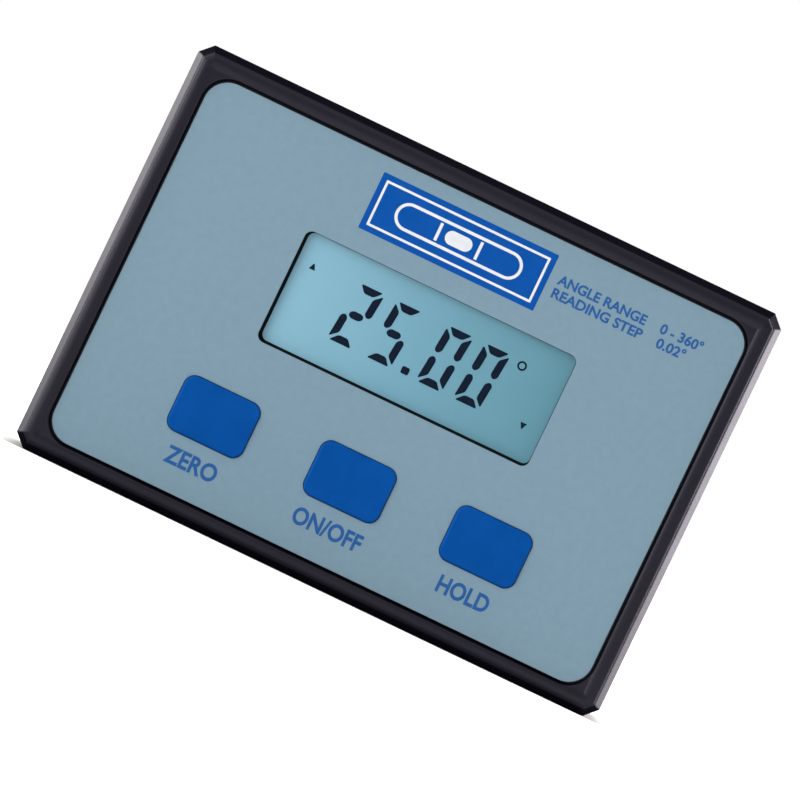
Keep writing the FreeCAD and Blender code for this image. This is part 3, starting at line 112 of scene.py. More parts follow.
def noise(tree, place, size_mm, detail=3.0, stretch=(1, 1, 1)):
    """Cloudy noise whose lumps are about size_mm across, squeezed along an axis where stretch is above 1."""
    place = add_node(tree, "ShaderNodeMapping", {"Vector": place, "Scale": stretch}).outputs["Vector"]
    return add_node(tree, "ShaderNodeTexNoise", {"Vector": place, "Scale": 1 / (size_mm * MM),
                                                 "Detail": detail, "Roughness": 0.6}).outputs["Fac"]


# %% [markdown]
# The noise then drives three things: two close shades of colour, a little more or less gloss, and a grain
# that raises and sinks the surface by a few thousandths of a millimetre. The last helper puts the three
# together into the usual finish. Its two shades are linear colour values, so they are what the light meets.

# %% Helpers: colour that drifts, gloss that comes and goes, grain with depth
NOISE_LOW, NOISE_HIGH = 0.3, 0.7
GLOSS_SPREAD = 1.7


def drift_colour(tree, shader, cloud, dark, light):
    """Let the base colour wander between two close shades."""
    ramp = add_node(tree, "ShaderNodeValToRGB", {"Fac": cloud})
    for stop, position, colour in zip(ramp.color_ramp.elements, (NOISE_LOW, NOISE_HIGH), (dark, light)):
        stop.position = position
        stop.color = (*colour, 1)
    tree.links.new(ramp.outputs["Color"], shader.inputs["Base Color"])
    return ramp.outputs["Color"]


def drift_gloss(tree, shader, cloud, smooth, rough):
    """Let the roughness wander between two values."""
    gloss = add_node(tree, "ShaderNodeMapRange", {"Value": cloud, "To Min": smooth, "To Max": rough,
                                                  "From Min": NOISE_LOW, "From Max": NOISE_HIGH})
    tree.links.new(gloss.outputs["Result"], shader.inputs["Roughness"])


def grain(tree, shader, cloud, depth_mm, normal=None):
    """Raise and sink the surface by about depth_mm, as a bump on its own normal or on a given one."""
    inputs = {"Height": cloud, "Distance": depth_mm * MM}
    if normal:
        inputs["Normal"] = normal
    bump = add_node(tree, "ShaderNodeBump", inputs)
    tree.links.new(bump.outputs["Normal"], shader.inputs["Normal"])


def finish(name, dark, light, drift_mm, gloss, grain_mm, depth_mm, stretch=(1, 1, 1), **sockets):
    """The usual finish: two shades, two gloss values, and a grain of one size and depth."""
    tree, shader, place = blank_finish(name, **sockets)
    drift_colour(tree, shader, noise(tree, place, drift_mm), dark, light)
    drift_gloss(tree, shader, noise(tree, place, drift_mm * GLOSS_SPREAD), *gloss)
    grain(tree, shader, noise(tree, place, grain_mm, 2.0, stretch), depth_mm)


# %% [markdown]
# The frame is milled aluminium, black anodised: the colour sits in a hard clear oxide layer, so the metal
# under it hardly shows. Its front and rear faces keep a faint violet-grey sheen, and the left and right
# bevels shine most. The top and bottom bevels, the sides and the edge of the recess get so little sheen that
# they stay dark under the white room: that is painted shade. How far a face looks forwards or backwards
# tells faces, slopes and sides apart, and a slope that looks away from the middle of the level is a bevel.
# Every edge is taken as a little rounded. The rim itself is flat, and a slanted normal lets it shine as if
# it were slightly crowned.

# %% Black anodised frame
EDGE_ROUND = 0.3 * MM
TURN = 5 * MM
CROWN_FROM, CROWN_TO, CROWN_RADIUS = 1.2 * MM, 3.5 * MM, 2.6 * MM
CORNER_CUT = 2.0 * MM
# Painted shade: the low sheen of the end bevels, the sides and the recess edge keeps them dark.
SHEEN_AND_PAINTED_SHADE = {"side": 0.05, "bevel": 0.5, "end_bevel_painted_shade": 0.02, "recess": 0.01, "face": 0.24}
ROUGHNESS = {"side": 0.42, "slope": 0.2, "face": 0.26}
SIDE_TO_SLOPE, SLOPE_TO_FACE, SIDE_TO_SHADED_END = (0.2, 0.6), (0.78, 0.97), (0.2, 0.5)
WEAR_SIZE, WEAR = 4, 0.12


def blend(tree, value, span, ends):
    """Follow value from one end to the other while it crosses the span. An end may be a socket."""
    return add_node(tree, "ShaderNodeMapRange", {"Value": value, "From Min": span[0], "From Max": span[1],
                                                 "To Min": ends[0], "To Max": ends[1]}).outputs["Result"]


def calculate(tree, operation, *values):
    """One step of arithmetic on numbers or sockets."""
    return add_node(tree, "ShaderNodeMath", dict(enumerate(values)), operation=operation).outputs["Value"]


def calculate_way(tree, operation, *values, output="Vector"):
    """One step of arithmetic on vectors or sockets."""
    step = add_node(tree, "ShaderNodeVectorMath", dict(enumerate(values)), operation=operation)
    return step.outputs[output]


def axes_of(tree, way):
    """The X, Y and Z of a vector, as three sockets."""
    return add_node(tree, "ShaderNodeSeparateXYZ", {"Vector": way}).outputs


def crowned(tree, from_middle, normal):
    """The normal of a rim that is crowned between the bevel and the recess, from the place on the frame."""
    low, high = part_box("frame")
    reach = (high - low) / 2
    axes = axes_of(tree, calculate_way(tree, "ABSOLUTE", from_middle))
    from_side = calculate(tree, "SUBTRACT", reach.x, axes["X"])
    from_end = calculate(tree, "SUBTRACT", reach.z, axes["Z"])
    both = calculate(tree, "ADD", from_side, from_end)
    from_cut = calculate(tree, "MULTIPLY", calculate(tree, "SUBTRACT", both, CORNER_CUT), math.sqrt(0.5))
    inset = calculate(tree, "MINIMUM", calculate(tree, "MINIMUM", from_side, from_end), from_cut)
    inset = calculate(tree, "MINIMUM", calculate(tree, "MAXIMUM", inset, CROWN_FROM), CROWN_TO)
    off_crest = calculate(tree, "SUBTRACT", inset, (CROWN_FROM + CROWN_TO) / 2)
    rise = calculate(tree, "DIVIDE", calculate(tree, "MULTIPLY", off_crest, off_crest), -2 * CROWN_RADIUS)
    crown = add_node(tree, "ShaderNodeBump", {"Height": rise, "Distance": 1.0, "Normal": normal})
    return crown.outputs["Normal"]


def frame_sheen_and_painted_shade(tree, facing, upright, turned):
    """The sheen of a face that looks forwards, up and outwards by the given amounts, with painted shade
    where it is low.
    """
    bevel = blend(tree, upright, SIDE_TO_SHADED_END, (SHEEN_AND_PAINTED_SHADE["bevel"], SHEEN_AND_PAINTED_SHADE["end_bevel_painted_shade"]))
    slope = blend(tree, turned, (-TURN, TURN), (SHEEN_AND_PAINTED_SHADE["recess"], bevel))
    slope = blend(tree, facing, SIDE_TO_SLOPE, (SHEEN_AND_PAINTED_SHADE["side"], slope))
    return blend(tree, facing, SLOPE_TO_FACE, (slope, SHEEN_AND_PAINTED_SHADE["face"]))


def frame_roughness(tree, place, facing):
    """The roughness of a face that looks forwards by the given amount, with a little wear."""
    smooth = blend(tree, facing, SIDE_TO_SLOPE, (ROUGHNESS["side"], ROUGHNESS["slope"]))
    smooth = blend(tree, facing, SLOPE_TO_FACE, (smooth, ROUGHNESS["face"]))
    return calculate(tree, "MULTIPLY_ADD", noise(tree, place, WEAR_SIZE), WEAR, smooth)


def anodised_finish():
    """Near-black anodising whose sheen depends on which way a face looks, low as painted shade on the dull
    faces.
    """
    tree, shader, place = blank_finish("black_anodised", **{"Specular Tint": (0.84, 0.83, 1, 1)})
    drift_colour(tree, shader, noise(tree, place, 9), (0.0022, 0.0018, 0.0046), (0.0035, 0.0029, 0.0072))
    low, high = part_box("frame")
    from_middle = calculate_way(tree, "SUBTRACT", place, (low + high) / 2)
    round_normal = add_node(tree, "ShaderNodeBevel", {"Radius": EDGE_ROUND}, samples=6).outputs["Normal"]
    grain(tree, shader, noise(tree, place, 0.09, 2.0), 0.002, crowned(tree, from_middle, round_normal))
    normal = add_node(tree, "ShaderNodeVectorTransform", {"Vector": round_normal}, vector_type="NORMAL",
                      convert_from="WORLD", convert_to="OBJECT").outputs["Vector"]
    outwards = calculate_way(tree, "MULTIPLY", from_middle, (1, 0, 1))
    turned = calculate_way(tree, "DOT_PRODUCT", outwards, normal, output="Value")
    axes = axes_of(tree, normal)
    facing = calculate(tree, "ABSOLUTE", axes["Y"])
    upright = calculate(tree, "ABSOLUTE", axes["Z"])
    tree.links.new(frame_sheen_and_painted_shade(tree, facing, upright, turned), shader.inputs["Specular IOR Level"])
    tree.links.new(frame_roughness(tree, place, facing), shader.inputs["Roughness"])


anodised_finish()
print("sheen of the frame:", SHEEN_AND_PAINTED_SHADE)

# %% [markdown]
# The front panel is a printed film on a stiff plate. The ink is a cool blue-grey under a velvet top coat,
# so it is satin, with a faint mottle. The keys are moulded in bright blue with the same satin skin.

# %% Panel film, panel plate and blue keys
finish(
    "panel_print", dark=(0.188, 0.303, 0.384), light=(0.203, 0.323, 0.407), drift_mm=1.4,
    gloss=(0.42, 0.52), grain_mm=0.12, depth_mm=0.004, **{"Specular IOR Level": 0.35})
finish(
    "panel_plate", dark=(0.012, 0.014, 0.017), light=(0.02, 0.022, 0.026), drift_mm=4,
    gloss=(0.5, 0.6), grain_mm=0.15, depth_mm=0.006)
finish(
    "key_blue", dark=(0.0008, 0.072, 0.33), light=(0.0015, 0.084, 0.375), drift_mm=3.5,
    gloss=(0.36, 0.46), grain_mm=0.16, depth_mm=0.004, **{"Specular IOR Level": 0.04})

# %% [markdown]
# A reflective display looks like a pale blue-green pool: light falls through the film, bounces off a pearly
# layer and comes back tinted. That tint is the display's own. A ramp along the display's width makes it
# paler at the left and deeper towards the right, and that paling towards the left is painted light. A little
# cloud is in it, and a coat stands for the glossy film on top.

# %% Display film
DISPLAY_TINTS_WITH_PAINTED_LIGHT = ((0.275, 0.54, 0.685), (0.178, 0.4, 0.52), (0.115, 0.303, 0.388))
TINT_CLOUD = 0.12


def display_finish_with_painted_light():
    """A tint that deepens from left to right across the display, as painted light, under a glossy clear
    film.
    """
    low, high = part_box("lcd_polarizer")
    tree, shader, place = blank_finish(
        "lcd_film", **{"Coat Weight": 0.2, "Coat Roughness": 0.15, "Specular IOR Level": 0.2})
    # The ramp across the display is painted light: paler at the left, deeper at the right.
    across = blend(tree, axes_of(tree, place)["X"], (low.x, high.x), (0, 1))
    clouded = calculate(tree, "MULTIPLY_ADD", noise(tree, place, 9.0), TINT_CLOUD, across)
    ramp = add_node(tree, "ShaderNodeValToRGB", {"Fac": clouded})
    ramp.color_ramp.elements.new(0.5)
    for stop, shade in zip(ramp.color_ramp.elements, DISPLAY_TINTS_WITH_PAINTED_LIGHT):
        stop.color = (*shade, 1)
    tree.links.new(ramp.outputs["Color"], shader.inputs["Base Color"])
    drift_gloss(tree, shader, noise(tree, place, 6.0), 0.3, 0.38)
    grain(tree, shader, noise(tree, place, 0.5, 2.0), 0.001)


display_finish_with_painted_light()
print("display shades from left to right:", len(DISPLAY_TINTS_WITH_PAINTED_LIGHT))

# %% [markdown]
# Behind the panel sit glass, rubber, circuit board and switches. They show only through seams, or when
# somebody takes the level apart, and still each gets its own finish: glass transmits, the rubber contact
# strip is pink and soft, solder mask is glossy green over a woven laminate.

# %% Finishes behind the panel
finish(
    "lcd_glass", (0.78, 0.86, 0.84), (0.84, 0.9, 0.88), 8, (0.02, 0.05), 3, 0.0005,
    **{"Transmission Weight": 0.9, "IOR": 1.52})
finish(
    "lcd_mirror_film", (0.5, 0.55, 0.54), (0.58, 0.62, 0.6), 5, (0.25, 0.35), 0.2, 0.002, Metallic=0.6)
finish(
    "holder_white", (0.66, 0.66, 0.63), (0.74, 0.74, 0.72), 6, (0.42, 0.55), 0.3, 0.008)
finish(
    "zebra_rubber", (0.5, 0.2, 0.24), (0.64, 0.28, 0.32), 1.5, (0.6, 0.75), 0.25, 0.01, stretch=(8, 1, 1))
finish(
    "board_green", (0.012, 0.13, 0.05), (0.022, 0.18, 0.075), 2, (0.22, 0.34), 0.5, 0.006, (1, 1, 3),
    **{"Coat Weight": 0.3})
finish(
    "switch_black", (0.012, 0.012, 0.013), (0.022, 0.022, 0.024), 1.2, (0.4, 0.5), 0.1, 0.004)
finish(
    "plunger_black", (0.014, 0.014, 0.015), (0.024, 0.024, 0.026), 1.0, (0.25, 0.35), 0.15, 0.003)
finish(
    "chip_black", (0.014, 0.014, 0.015), (0.024, 0.024, 0.025), 1.4, (0.5, 0.62), 0.08, 0.004)
finish(
    "resistor_ceramic", (0.015, 0.014, 0.013), (0.035, 0.033, 0.03), 0.6, (0.2, 0.3), 0.1, 0.002)
finish(
    "connector_white", (0.68, 0.66, 0.6), (0.76, 0.74, 0.68), 3, (0.4, 0.5), 0.2, 0.005)
finish(
    "sensor_board", (0.01, 0.1, 0.06), (0.02, 0.15, 0.09), 2, (0.25, 0.35), 0.4, 0.005)

# %% [markdown]
# Metals share one recipe: a metallic shader whose roughness breaks up along the way the metal was worked.
# Sheet is drawn one way, screws and pins are plated, turned parts carry fine rings. Only the two shades, the
# roughness and the direction of the scratches differ, so one helper makes them all.

# %% Metals
TARNISH = 0.88


def metal(name, shade, gloss, scratch_mm=0.3, stretch=(1, 1, 10), depth_mm=0.002):
    """A worked metal: its shade, a little darker in places, with scratches along one way."""
    dark = tuple(channel * TARNISH for channel in shade)
    finish(name, dark, shade, 3, gloss, scratch_mm, depth_mm, stretch, Metallic=1.0)


metal("steel_screw", (0.62, 0.62, 0.6), (0.28, 0.4))
metal("switch_steel", (0.66, 0.66, 0.64), (0.25, 0.35))
metal("tinned_lead", (0.72, 0.72, 0.7), (0.3, 0.45))
metal("crystal_can", (0.74, 0.73, 0.7), (0.2, 0.3))
metal("capacitor_aluminium", (0.78, 0.79, 0.8), (0.22, 0.34))
metal("sensor_aluminium", (0.7, 0.71, 0.73), (0.3, 0.42), 0.4, (1, 10, 1))
metal("rotor_aluminium", (0.74, 0.75, 0.77), (0.25, 0.36), 0.4, (1, 10, 1))
metal("bearing_steel", (0.6, 0.6, 0.61), (0.12, 0.2), 0.2, (1, 8, 1))
metal("magnet_nickel", (0.68, 0.66, 0.62), (0.16, 0.26), 0.3, (6, 1, 1))
metal("contact_nickel", (0.72, 0.7, 0.66), (0.2, 0.32))
metal("weight_brass", (0.78, 0.57, 0.25), (0.24, 0.36), 0.4, (1, 10, 1))
metal("gold_pin", (0.9, 0.66, 0.26), (0.18, 0.28))
print("finishes so far:", len(FINISHES))

# %% [markdown]
# The back of the level is a moulded cover with a sliding battery door. Such mouldings come out of a tool
# whose walls were eroded by sparks, which leaves an even orange-peel grain. Black oxide screws hold it.
# Inside are the battery in its plain painted jacket, the soft vinyl snap and a strip of foam.

# %% Rear cover, screws and battery bay
finish(
    "cover_black", (0.0095, 0.01, 0.0115), (0.0125, 0.013, 0.015), 7, (0.5, 0.54), 0.28, 0.018,
    **{"Specular IOR Level": 0.22})
finish(
    "black_screw", (0.02, 0.02, 0.022), (0.04, 0.04, 0.042), 1.5, (0.3, 0.42), 0.15, 0.003,
    Metallic=0.7)
finish(
    "battery_jacket", (0.03, 0.034, 0.042), (0.05, 0.056, 0.066), 8, (0.25, 0.33), 0.5, 0.003, (1, 1, 4),
    **{"Coat Weight": 0.3})
finish(
    "snap_black", (0.01, 0.01, 0.01), (0.02, 0.02, 0.021), 2.5, (0.55, 0.7), 0.3, 0.012)
finish(
    "foam_grey", (0.05, 0.05, 0.055), (0.12, 0.12, 0.125), 0.7, (0.8, 0.95), 0.45, 0.09)
finish(
    "lead_red", (0.42, 0.012, 0.012), (0.52, 0.02, 0.018), 2, (0.35, 0.45), 0.2, 0.004)
finish(
    "lead_black", (0.01, 0.01, 0.011), (0.02, 0.02, 0.021), 2, (0.35, 0.45), 0.2, 0.004)

# %% [markdown]
# Each piece of the level knows which finish it takes, because the record that came with it says so. The
# finish goes into the piece's material slot, and the piece itself stays untouched.

# %% Put every finish on its pieces
for part in frame["record"]["subparts"]:
    mesh = frame["nodes"][part["node"]].data
    mesh.materials.clear()
    mesh.materials.append(FINISHES[part["material_slot"]])

# %% [markdown]
# Ink is thin but real: screen printing lays down a few hundredths of a millimetre. So each printed mark is
# a closed sheet of that thickness that lies on its film, made from flat faces. They are drawn in
# millimetres, measured across and up the front, either inside one outline or as a band between two outlines
# of the same number of points.

# %% Helpers: ink from outlines
INK = 0.02


def closed_mesh(name, drawing):
    """Turn a finished drawing into a mesh whose faces all look outwards."""
    bmesh.ops.recalc_face_normals(drawing, faces=drawing.faces)
    mesh = bpy.data.meshes.new(name)
    drawing.to_mesh(mesh)
    drawing.free()
    return mesh


def dress(name, data, look):
    """Put a mesh or curve in the scene with its slot and its finish, riding on the housing."""
    data.materials.append(FINISHES[look])
    piece = bpy.data.objects.new(name, data)
    bpy.context.scene.collection.objects.link(piece)
    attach(piece, "housing")
    return piece


def sheet_of_ink(name, build, face_mm, look):
    """A closed sheet INK thick, in front of the plane at face_mm, from flat faces that build draws."""
    drawing = bmesh.new()
    build(drawing)
    flat = drawing.faces[:]
    for face in flat:
        face.normal_update()
        if face.normal.y > 0:
            face.normal_flip()
    swept = bmesh.ops.extrude_face_region(drawing, geom=flat, use_keep_orig=True)
    moved = [item for item in swept["geom"] if isinstance(item, bmesh.types.BMVert)]
    bmesh.ops.translate(drawing, verts=moved, vec=(0, -INK, 0))
    bmesh.ops.translate(drawing, verts=drawing.verts, vec=(0, face_mm, 0))
    bmesh.ops.scale(drawing, vec=(MM, MM, MM), verts=drawing.verts)
    return dress(name, closed_mesh(name, drawing), look)


def fill(drawing, outline):
    """One flat face inside an outline of (across, up) points."""
    return drawing.faces.new([drawing.verts.new((x, 0, z)) for x, z in outline])


def band(drawing, outer, inner):
    """Flat faces between two closed outlines with the same number of points."""
    outside = [drawing.verts.new((x, 0, z)) for x, z in outer]
    inside = [drawing.verts.new((x, 0, z)) for x, z in inner]
    for here in range(len(outside)):
        there = (here + 1) % len(outside)
        drawing.faces.new([outside[here], outside[there], inside[there], inside[here]])


def rounded(width, height, radius, middle, steps=8):
    """The outline of a rounded rectangle. With radius half of both sides it is a circle."""
    points = []
    for quarter, (right, up) in enumerate(((1, 1), (-1, 1), (-1, -1), (1, -1))):
        corner = (middle[0] + right * (width / 2 - radius), middle[1] + up * (height / 2 - radius))
        for step in range(steps + 1):
            turn = math.radians(90 * (quarter + step / steps))
            points.append((corner[0] + radius * math.cos(turn), corner[1] + radius * math.sin(turn)))
    return points


# %% [markdown]
# A thin dark band on the display is painted shadow: it stands for the shade that the window's edge casts
# on the display, along the left and lower edges only. It is a band between the window's outline and a
# slightly smaller one that is shifted up and to the right.

# %% Painted shadow round the display
DISPLAY_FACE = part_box("lcd_polarizer")[0].y / MM
WINDOW_SIZE, WINDOW_RADIUS, WINDOW_MIDDLE = (47.4, 19.3), 1.3, (0.4, 41.05)
PAINTED_SHADOW_RADIUS = 1.1
PAINTED_SHADOW_WIDTHS = {"left": 0.56, "right": 0.06, "top": 0.06, "bottom": 0.5}
finish(
    "painted_shadow_black", (0.003, 0.006, 0.008), (0.004, 0.008, 0.0105), 1.2, (0.55, 0.65), 0.1, 0.003,
    **{"Specular IOR Level": 0.05})


def painted_shadow_band(drawing):
    """The dark band of painted shadow that shows inside the window."""
    width = WINDOW_SIZE[0] - PAINTED_SHADOW_WIDTHS["left"] - PAINTED_SHADOW_WIDTHS["right"]
    height = WINDOW_SIZE[1] - PAINTED_SHADOW_WIDTHS["top"] - PAINTED_SHADOW_WIDTHS["bottom"]
    middle = (WINDOW_MIDDLE[0] + (PAINTED_SHADOW_WIDTHS["left"] - PAINTED_SHADOW_WIDTHS["right"]) / 2,
              WINDOW_MIDDLE[1] + (PAINTED_SHADOW_WIDTHS["bottom"] - PAINTED_SHADOW_WIDTHS["top"]) / 2)
    band(drawing, rounded(*WINDOW_SIZE, WINDOW_RADIUS, WINDOW_MIDDLE),
         rounded(width, height, PAINTED_SHADOW_RADIUS, middle))


# A dark sheet on the display: painted shadow of the window's edge at its left and bottom.
sheet_of_ink("display_painted_shadow", painted_shadow_band, DISPLAY_FACE, "painted_shadow_black")
print("gasket shows at the left by", PAINTED_SHADOW_WIDTHS["left"], "mm")

# %% [markdown]
# The reading is made of the seven bars of a display digit. The bars are mitred where they meet, with a hair
# of light between them, the middle one is a lens, and the whole digit leans to the right. Only half of a
# digit has to be drawn, because the other half mirrors it.

# %% Digits of the display
DIGIT_WIDTH, DIGIT_HEIGHT, BAR = 4.5, 10.1, 1.25
DIGIT_LEAN = math.tan(math.radians(5.5))
DIGIT_FOOT = 36.45
CORNER_REACH, LARGEST_SHARE = 0.22, 0.4
BARS_OF = {"0": "abcdef", "2": "abged", "5": "afgcd"}
READING, FIGURES_LEFT = "2500", (-13.25, -6.65, 2.3, 8.8)
POINT_SIZE, POINT_RADIUS, POINT_MIDDLE = (1.3, 1.2), 0.25, (0.2, 37.1)
RING_OUTSIDE, RING_INSIDE, RING_MIDDLE = 1.56, 0.96, (16.55, 45.75)
UP_ARROW = {"foot": (-20.025, 45.15), "half": 0.525, "tip_half": 0.075, "height": 1.0}
DOWN_ARROW = {"foot": (20.7, 37.75), "half": 0.55, "tip_half": 0.08, "height": -1.0}


def softened(outline):
    """The outline with each corner cut back a little, as an etched bar has."""
    points = []
    for before, corner, after in zip(outline[-1:] + outline, outline, outline[1:] + outline[:1]):
        for other in (before, after):
            share = min(CORNER_REACH / math.dist(corner, other), LARGEST_SHARE)
            points.append(tuple(here + (there - here) * share for here, there in zip(corner, other)))
    return points


def bar_outline(bar):
    """The outline of one bar, in millimetres from the digit's lower left corner."""
    w, h, t = DIGIT_WIDTH, DIGIT_HEIGHT, BAR
    tip, mitre, lens_tip = 0.36, 1.45, 0.95
    side_tip, side_mitre = 0.45, 1.62
    waist, foot_inside, foot_tip, foot_outside = h / 2, 0.85, 0.28, 0.7
    if bar == "g":
        return [(lens_tip, waist), (mitre, waist + t / 2), (w - mitre, waist + t / 2),
                (w - lens_tip, waist), (w - mitre, waist - t / 2), (mitre, waist - t / 2)]
    if bar in "ad":
        outline = [(tip, h), (w - tip, h), (w - mitre, h - t), (mitre, h - t)]
    else:
        outline = [(0, h - side_tip), (t, h - side_mitre), (t, waist + foot_inside),
                   (t / 2, waist + foot_tip), (0, waist + foot_outside)]
    if bar in "bc":
        outline = [(w - x, z) for x, z in outline]
    if bar in "dec":
        outline = [(x, h - z) for x, z in outline]
    return outline


def digit(drawing, figure, left):
    """One leaning figure whose lower left corner is at left."""
    for bar in BARS_OF[figure]:
        fill(drawing, [(left + x + z * DIGIT_LEAN, DIGIT_FOOT + z) for x, z in softened(bar_outline(bar))])


def circle(across, middle):
    """The outline of a circle that is across wide."""
    return rounded(across, across, across / 2, middle)


def arrow(drawing, foot, half, tip_half, height):
    """A small arrow from the middle of its foot. It points down when height is below 0."""
    x, z = foot
    fill(drawing, [(x - half, z), (x + half, z), (x + tip_half, z + height), (x - tip_half, z + height)])


def reading(drawing):
    """25.00 and a degree ring, with the two small arrows that tell which way to turn."""
    for figure, left in zip(READING, FIGURES_LEFT):
        digit(drawing, figure, left)
    fill(drawing, rounded(*POINT_SIZE, POINT_RADIUS, POINT_MIDDLE, 3))
    band(drawing, circle(RING_OUTSIDE, RING_MIDDLE), circle(RING_INSIDE, RING_MIDDLE))
    arrow(drawing, **UP_ARROW)
    arrow(drawing, **DOWN_ARROW)


finish(
    "display_dark", (0.003, 0.008, 0.02), (0.0045, 0.012, 0.03), 1.5, (0.3, 0.4), 0.2, 0.001,
    **{"Specular IOR Level": 0.06})
sheet_of_ink("display_reading", reading, DISPLAY_FACE, "display_dark")
print("bars drawn:", sum(len(BARS_OF[figure]) for figure in READING))

# %% [markdown]
# The words under the keys are plain sans-serif capitals in blue ink, and two small lines at the top name a
# range and a step. A text object becomes a mesh, and the mesh is stretched to the height and width that the
# print has on such a panel, then laid on the film.

# %% Words on the panel
PANEL_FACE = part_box("front_overlay")[0].y / MM
BOLDNESS = 0.03
finish(
    "blue_ink", (0.024, 0.112, 0.33), (0.03, 0.124, 0.36), 1.2, (0.34, 0.44), 0.12, 0.002,
    **{"Specular IOR Level": 0.06})


def text_mesh(name, text):
    """A line of text as a mesh, INK thick, at the font's own size."""
    curve = bpy.data.curves.new(name, "FONT")
    curve.body = text
    curve.extrude = INK / 2
    curve.offset = BOLDNESS
    curve.resolution_u = 4
    writing = bpy.data.objects.new(name, curve)
    bpy.context.scene.collection.objects.link(writing)
    bpy.context.view_layer.update()
    mesh = bpy.data.meshes.new_from_object(writing.evaluated_get(bpy.context.evaluated_depsgraph_get()))
    bpy.data.objects.remove(writing)
    return mesh


def words(name, text, left, right, foot, height):
    """A line of capitals between left and right, foot and foot + height, in millimetres on the panel."""
    mesh = text_mesh(name, text)
    low_x, high_x = min(v.co.x for v in mesh.vertices), max(v.co.x for v in mesh.vertices)
    high_y = max(v.co.y for v in mesh.vertices)
    across, up = (right - left) / (high_x - low_x), height / high_y
    for vertex in mesh.vertices:
        x, y, depth = vertex.co
        vertex.co = Vector((left + (x - low_x) * across, PANEL_FACE - INK / 2 - depth, foot + y * up)) * MM
    print(name, "is", round(right - left, 1), "mm wide")
    return dress(name, mesh, "blue_ink")


KEY_WORDS = {"zero_key": ("ZERO", 8.8), "on_off_key": ("ON/OFF", 11.8), "hold_key": ("HOLD", 8.8)}
WORD_FOOT, WORD_HEIGHT = 7.9, 2.8
SMALL_LEFT, SMALL_HEIGHT = 15.8, 1.7
RANGE_RIGHT, RANGE_FOOT = 41.0, 59.85
STEP_RIGHT, STEP_FOOT = 39.0, 57.55
for key, (text, width) in KEY_WORDS.items():
    low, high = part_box(key)
    middle = (low.x + high.x) / 2 / MM
    words(key + "_word", text, middle - width / 2, middle + width / 2, WORD_FOOT, WORD_HEIGHT)
words("range_line", "ANGLE RANGE    0 - 360°", SMALL_LEFT, RANGE_RIGHT, RANGE_FOOT, SMALL_HEIGHT)
words("reading_line", "READING STEP    0.02°", SMALL_LEFT, STEP_RIGHT, STEP_FOOT, SMALL_HEIGHT)

# %% [markdown]
# The top of the panel carries a blue printed field with a fine white border. This one is plain and generic:
# inside the border is the sign for a level, a vial with its bubble between two lines. The white shapes lie
# on the blue field as a second pass of ink.

# %% The blue field with the vial sign
FIELD_MIDDLE, FIELD_SIZE = (-1.0, 59.15), (30.6, 9.7)
BORDER_INSET, BORDER_WIDTH = 0.95, 0.4
VIAL_SIZE, VIAL_WALL, BUBBLE_SIZE = (22.0, 4.6), 0.5, (4.6, 2.3)
LINE_SIZE, LINE_FROM_MIDDLE = (0.5, 3.0), 3.5
FIELD_RADIUS, BORDER_RADIUS, SHARP_RADIUS = 0.15, 0.12, 0.05
finish(
    "field_blue", (0.003, 0.084, 0.385), (0.005, 0.092, 0.415), 2.0, (0.36, 0.46), 0.12, 0.002,
    **{"Specular IOR Level": 0.04})
finish(
    "white_ink", (0.76, 0.8, 0.84), (0.84, 0.87, 0.9), 1.5, (0.36, 0.46), 0.12, 0.002)


def smaller(size, inset):
    """A width and height, less by inset on every side."""
    return [side - inset * 2 for side in size]


def pill(size, middle):
    """The outline of a bar with half round ends."""
    return rounded(*size, size[1] / 2, middle)


def blue_field(drawing):
    """The field itself."""
    fill(drawing, rounded(*FIELD_SIZE, FIELD_RADIUS, FIELD_MIDDLE, 3))


def vial_sign(drawing):
    """The border, and a vial with two lines and a bubble."""
    x, z = FIELD_MIDDLE
    border = smaller(FIELD_SIZE, BORDER_INSET)
    band(drawing, rounded(*border, BORDER_RADIUS, FIELD_MIDDLE, 2),
         rounded(*smaller(border, BORDER_WIDTH), SHARP_RADIUS, FIELD_MIDDLE, 2))
    band(drawing, pill(VIAL_SIZE, FIELD_MIDDLE), pill(smaller(VIAL_SIZE, VIAL_WALL), FIELD_MIDDLE))
    fill(drawing, pill(BUBBLE_SIZE, FIELD_MIDDLE))
    for side in (-1, 1):
        fill(drawing, rounded(*LINE_SIZE, SHARP_RADIUS, (x + side * LINE_FROM_MIDDLE, z), 2))


sheet_of_ink("blue_field", blue_field, PANEL_FACE, "field_blue")
sheet_of_ink("vial_sign", vial_sign, PANEL_FACE - INK, "white_ink")
print("blue field:", FIELD_SIZE, "mm")

# %% [markdown]
# The battery's two leads are soft vinyl wires. Each has a fixed length, leaves the snap sideways, drops down
# the side of the battery bay and plugs into the board. A smooth spline with a round bevel is the natural way
# to draw one: its control points are where a hand would lay the wire, and it never kinks.

# %% Battery leads
LEAD_DIAMETER = 1.3 * MM
RED_ROUTE = [(9.4, 4.6, 58.15), (3.6, 4.9, 58.05), (3.2, 6.2, 49.45), (3.9, 5.4, 33.75), (3.1, 6.0, 21.25),
             (3.25, 4.9, 11.25), (3.25, -1.8, 11.25)]
BLACK_ROUTE = [(9.4, 6.6, 58.15), (1.1, 6.9, 58.45), (1.3, 5.6, 46.85), (0.6, 6.4, 32.25), (1.2, 5.5, 19.75),
               (0.75, 6.0, 11.25), (0.75, -1.8, 11.25)]


def lead_curve(name, route):
    """A smooth round wire along the points of its route."""
    curve = bpy.data.curves.new(name, "CURVE")
    curve.dimensions = "3D"
    curve.bevel_depth = LEAD_DIAMETER / 2
    curve.bevel_resolution = 5
    curve.use_fill_caps = True
    spline = curve.splines.new("NURBS")
    spline.points.add(len(route) - 1)
    for point, place in zip(spline.points, route):
        point.co = (*[side * MM for side in place], 1)
    spline.order_u = 3
    spline.use_endpoint_u = True
    return curve


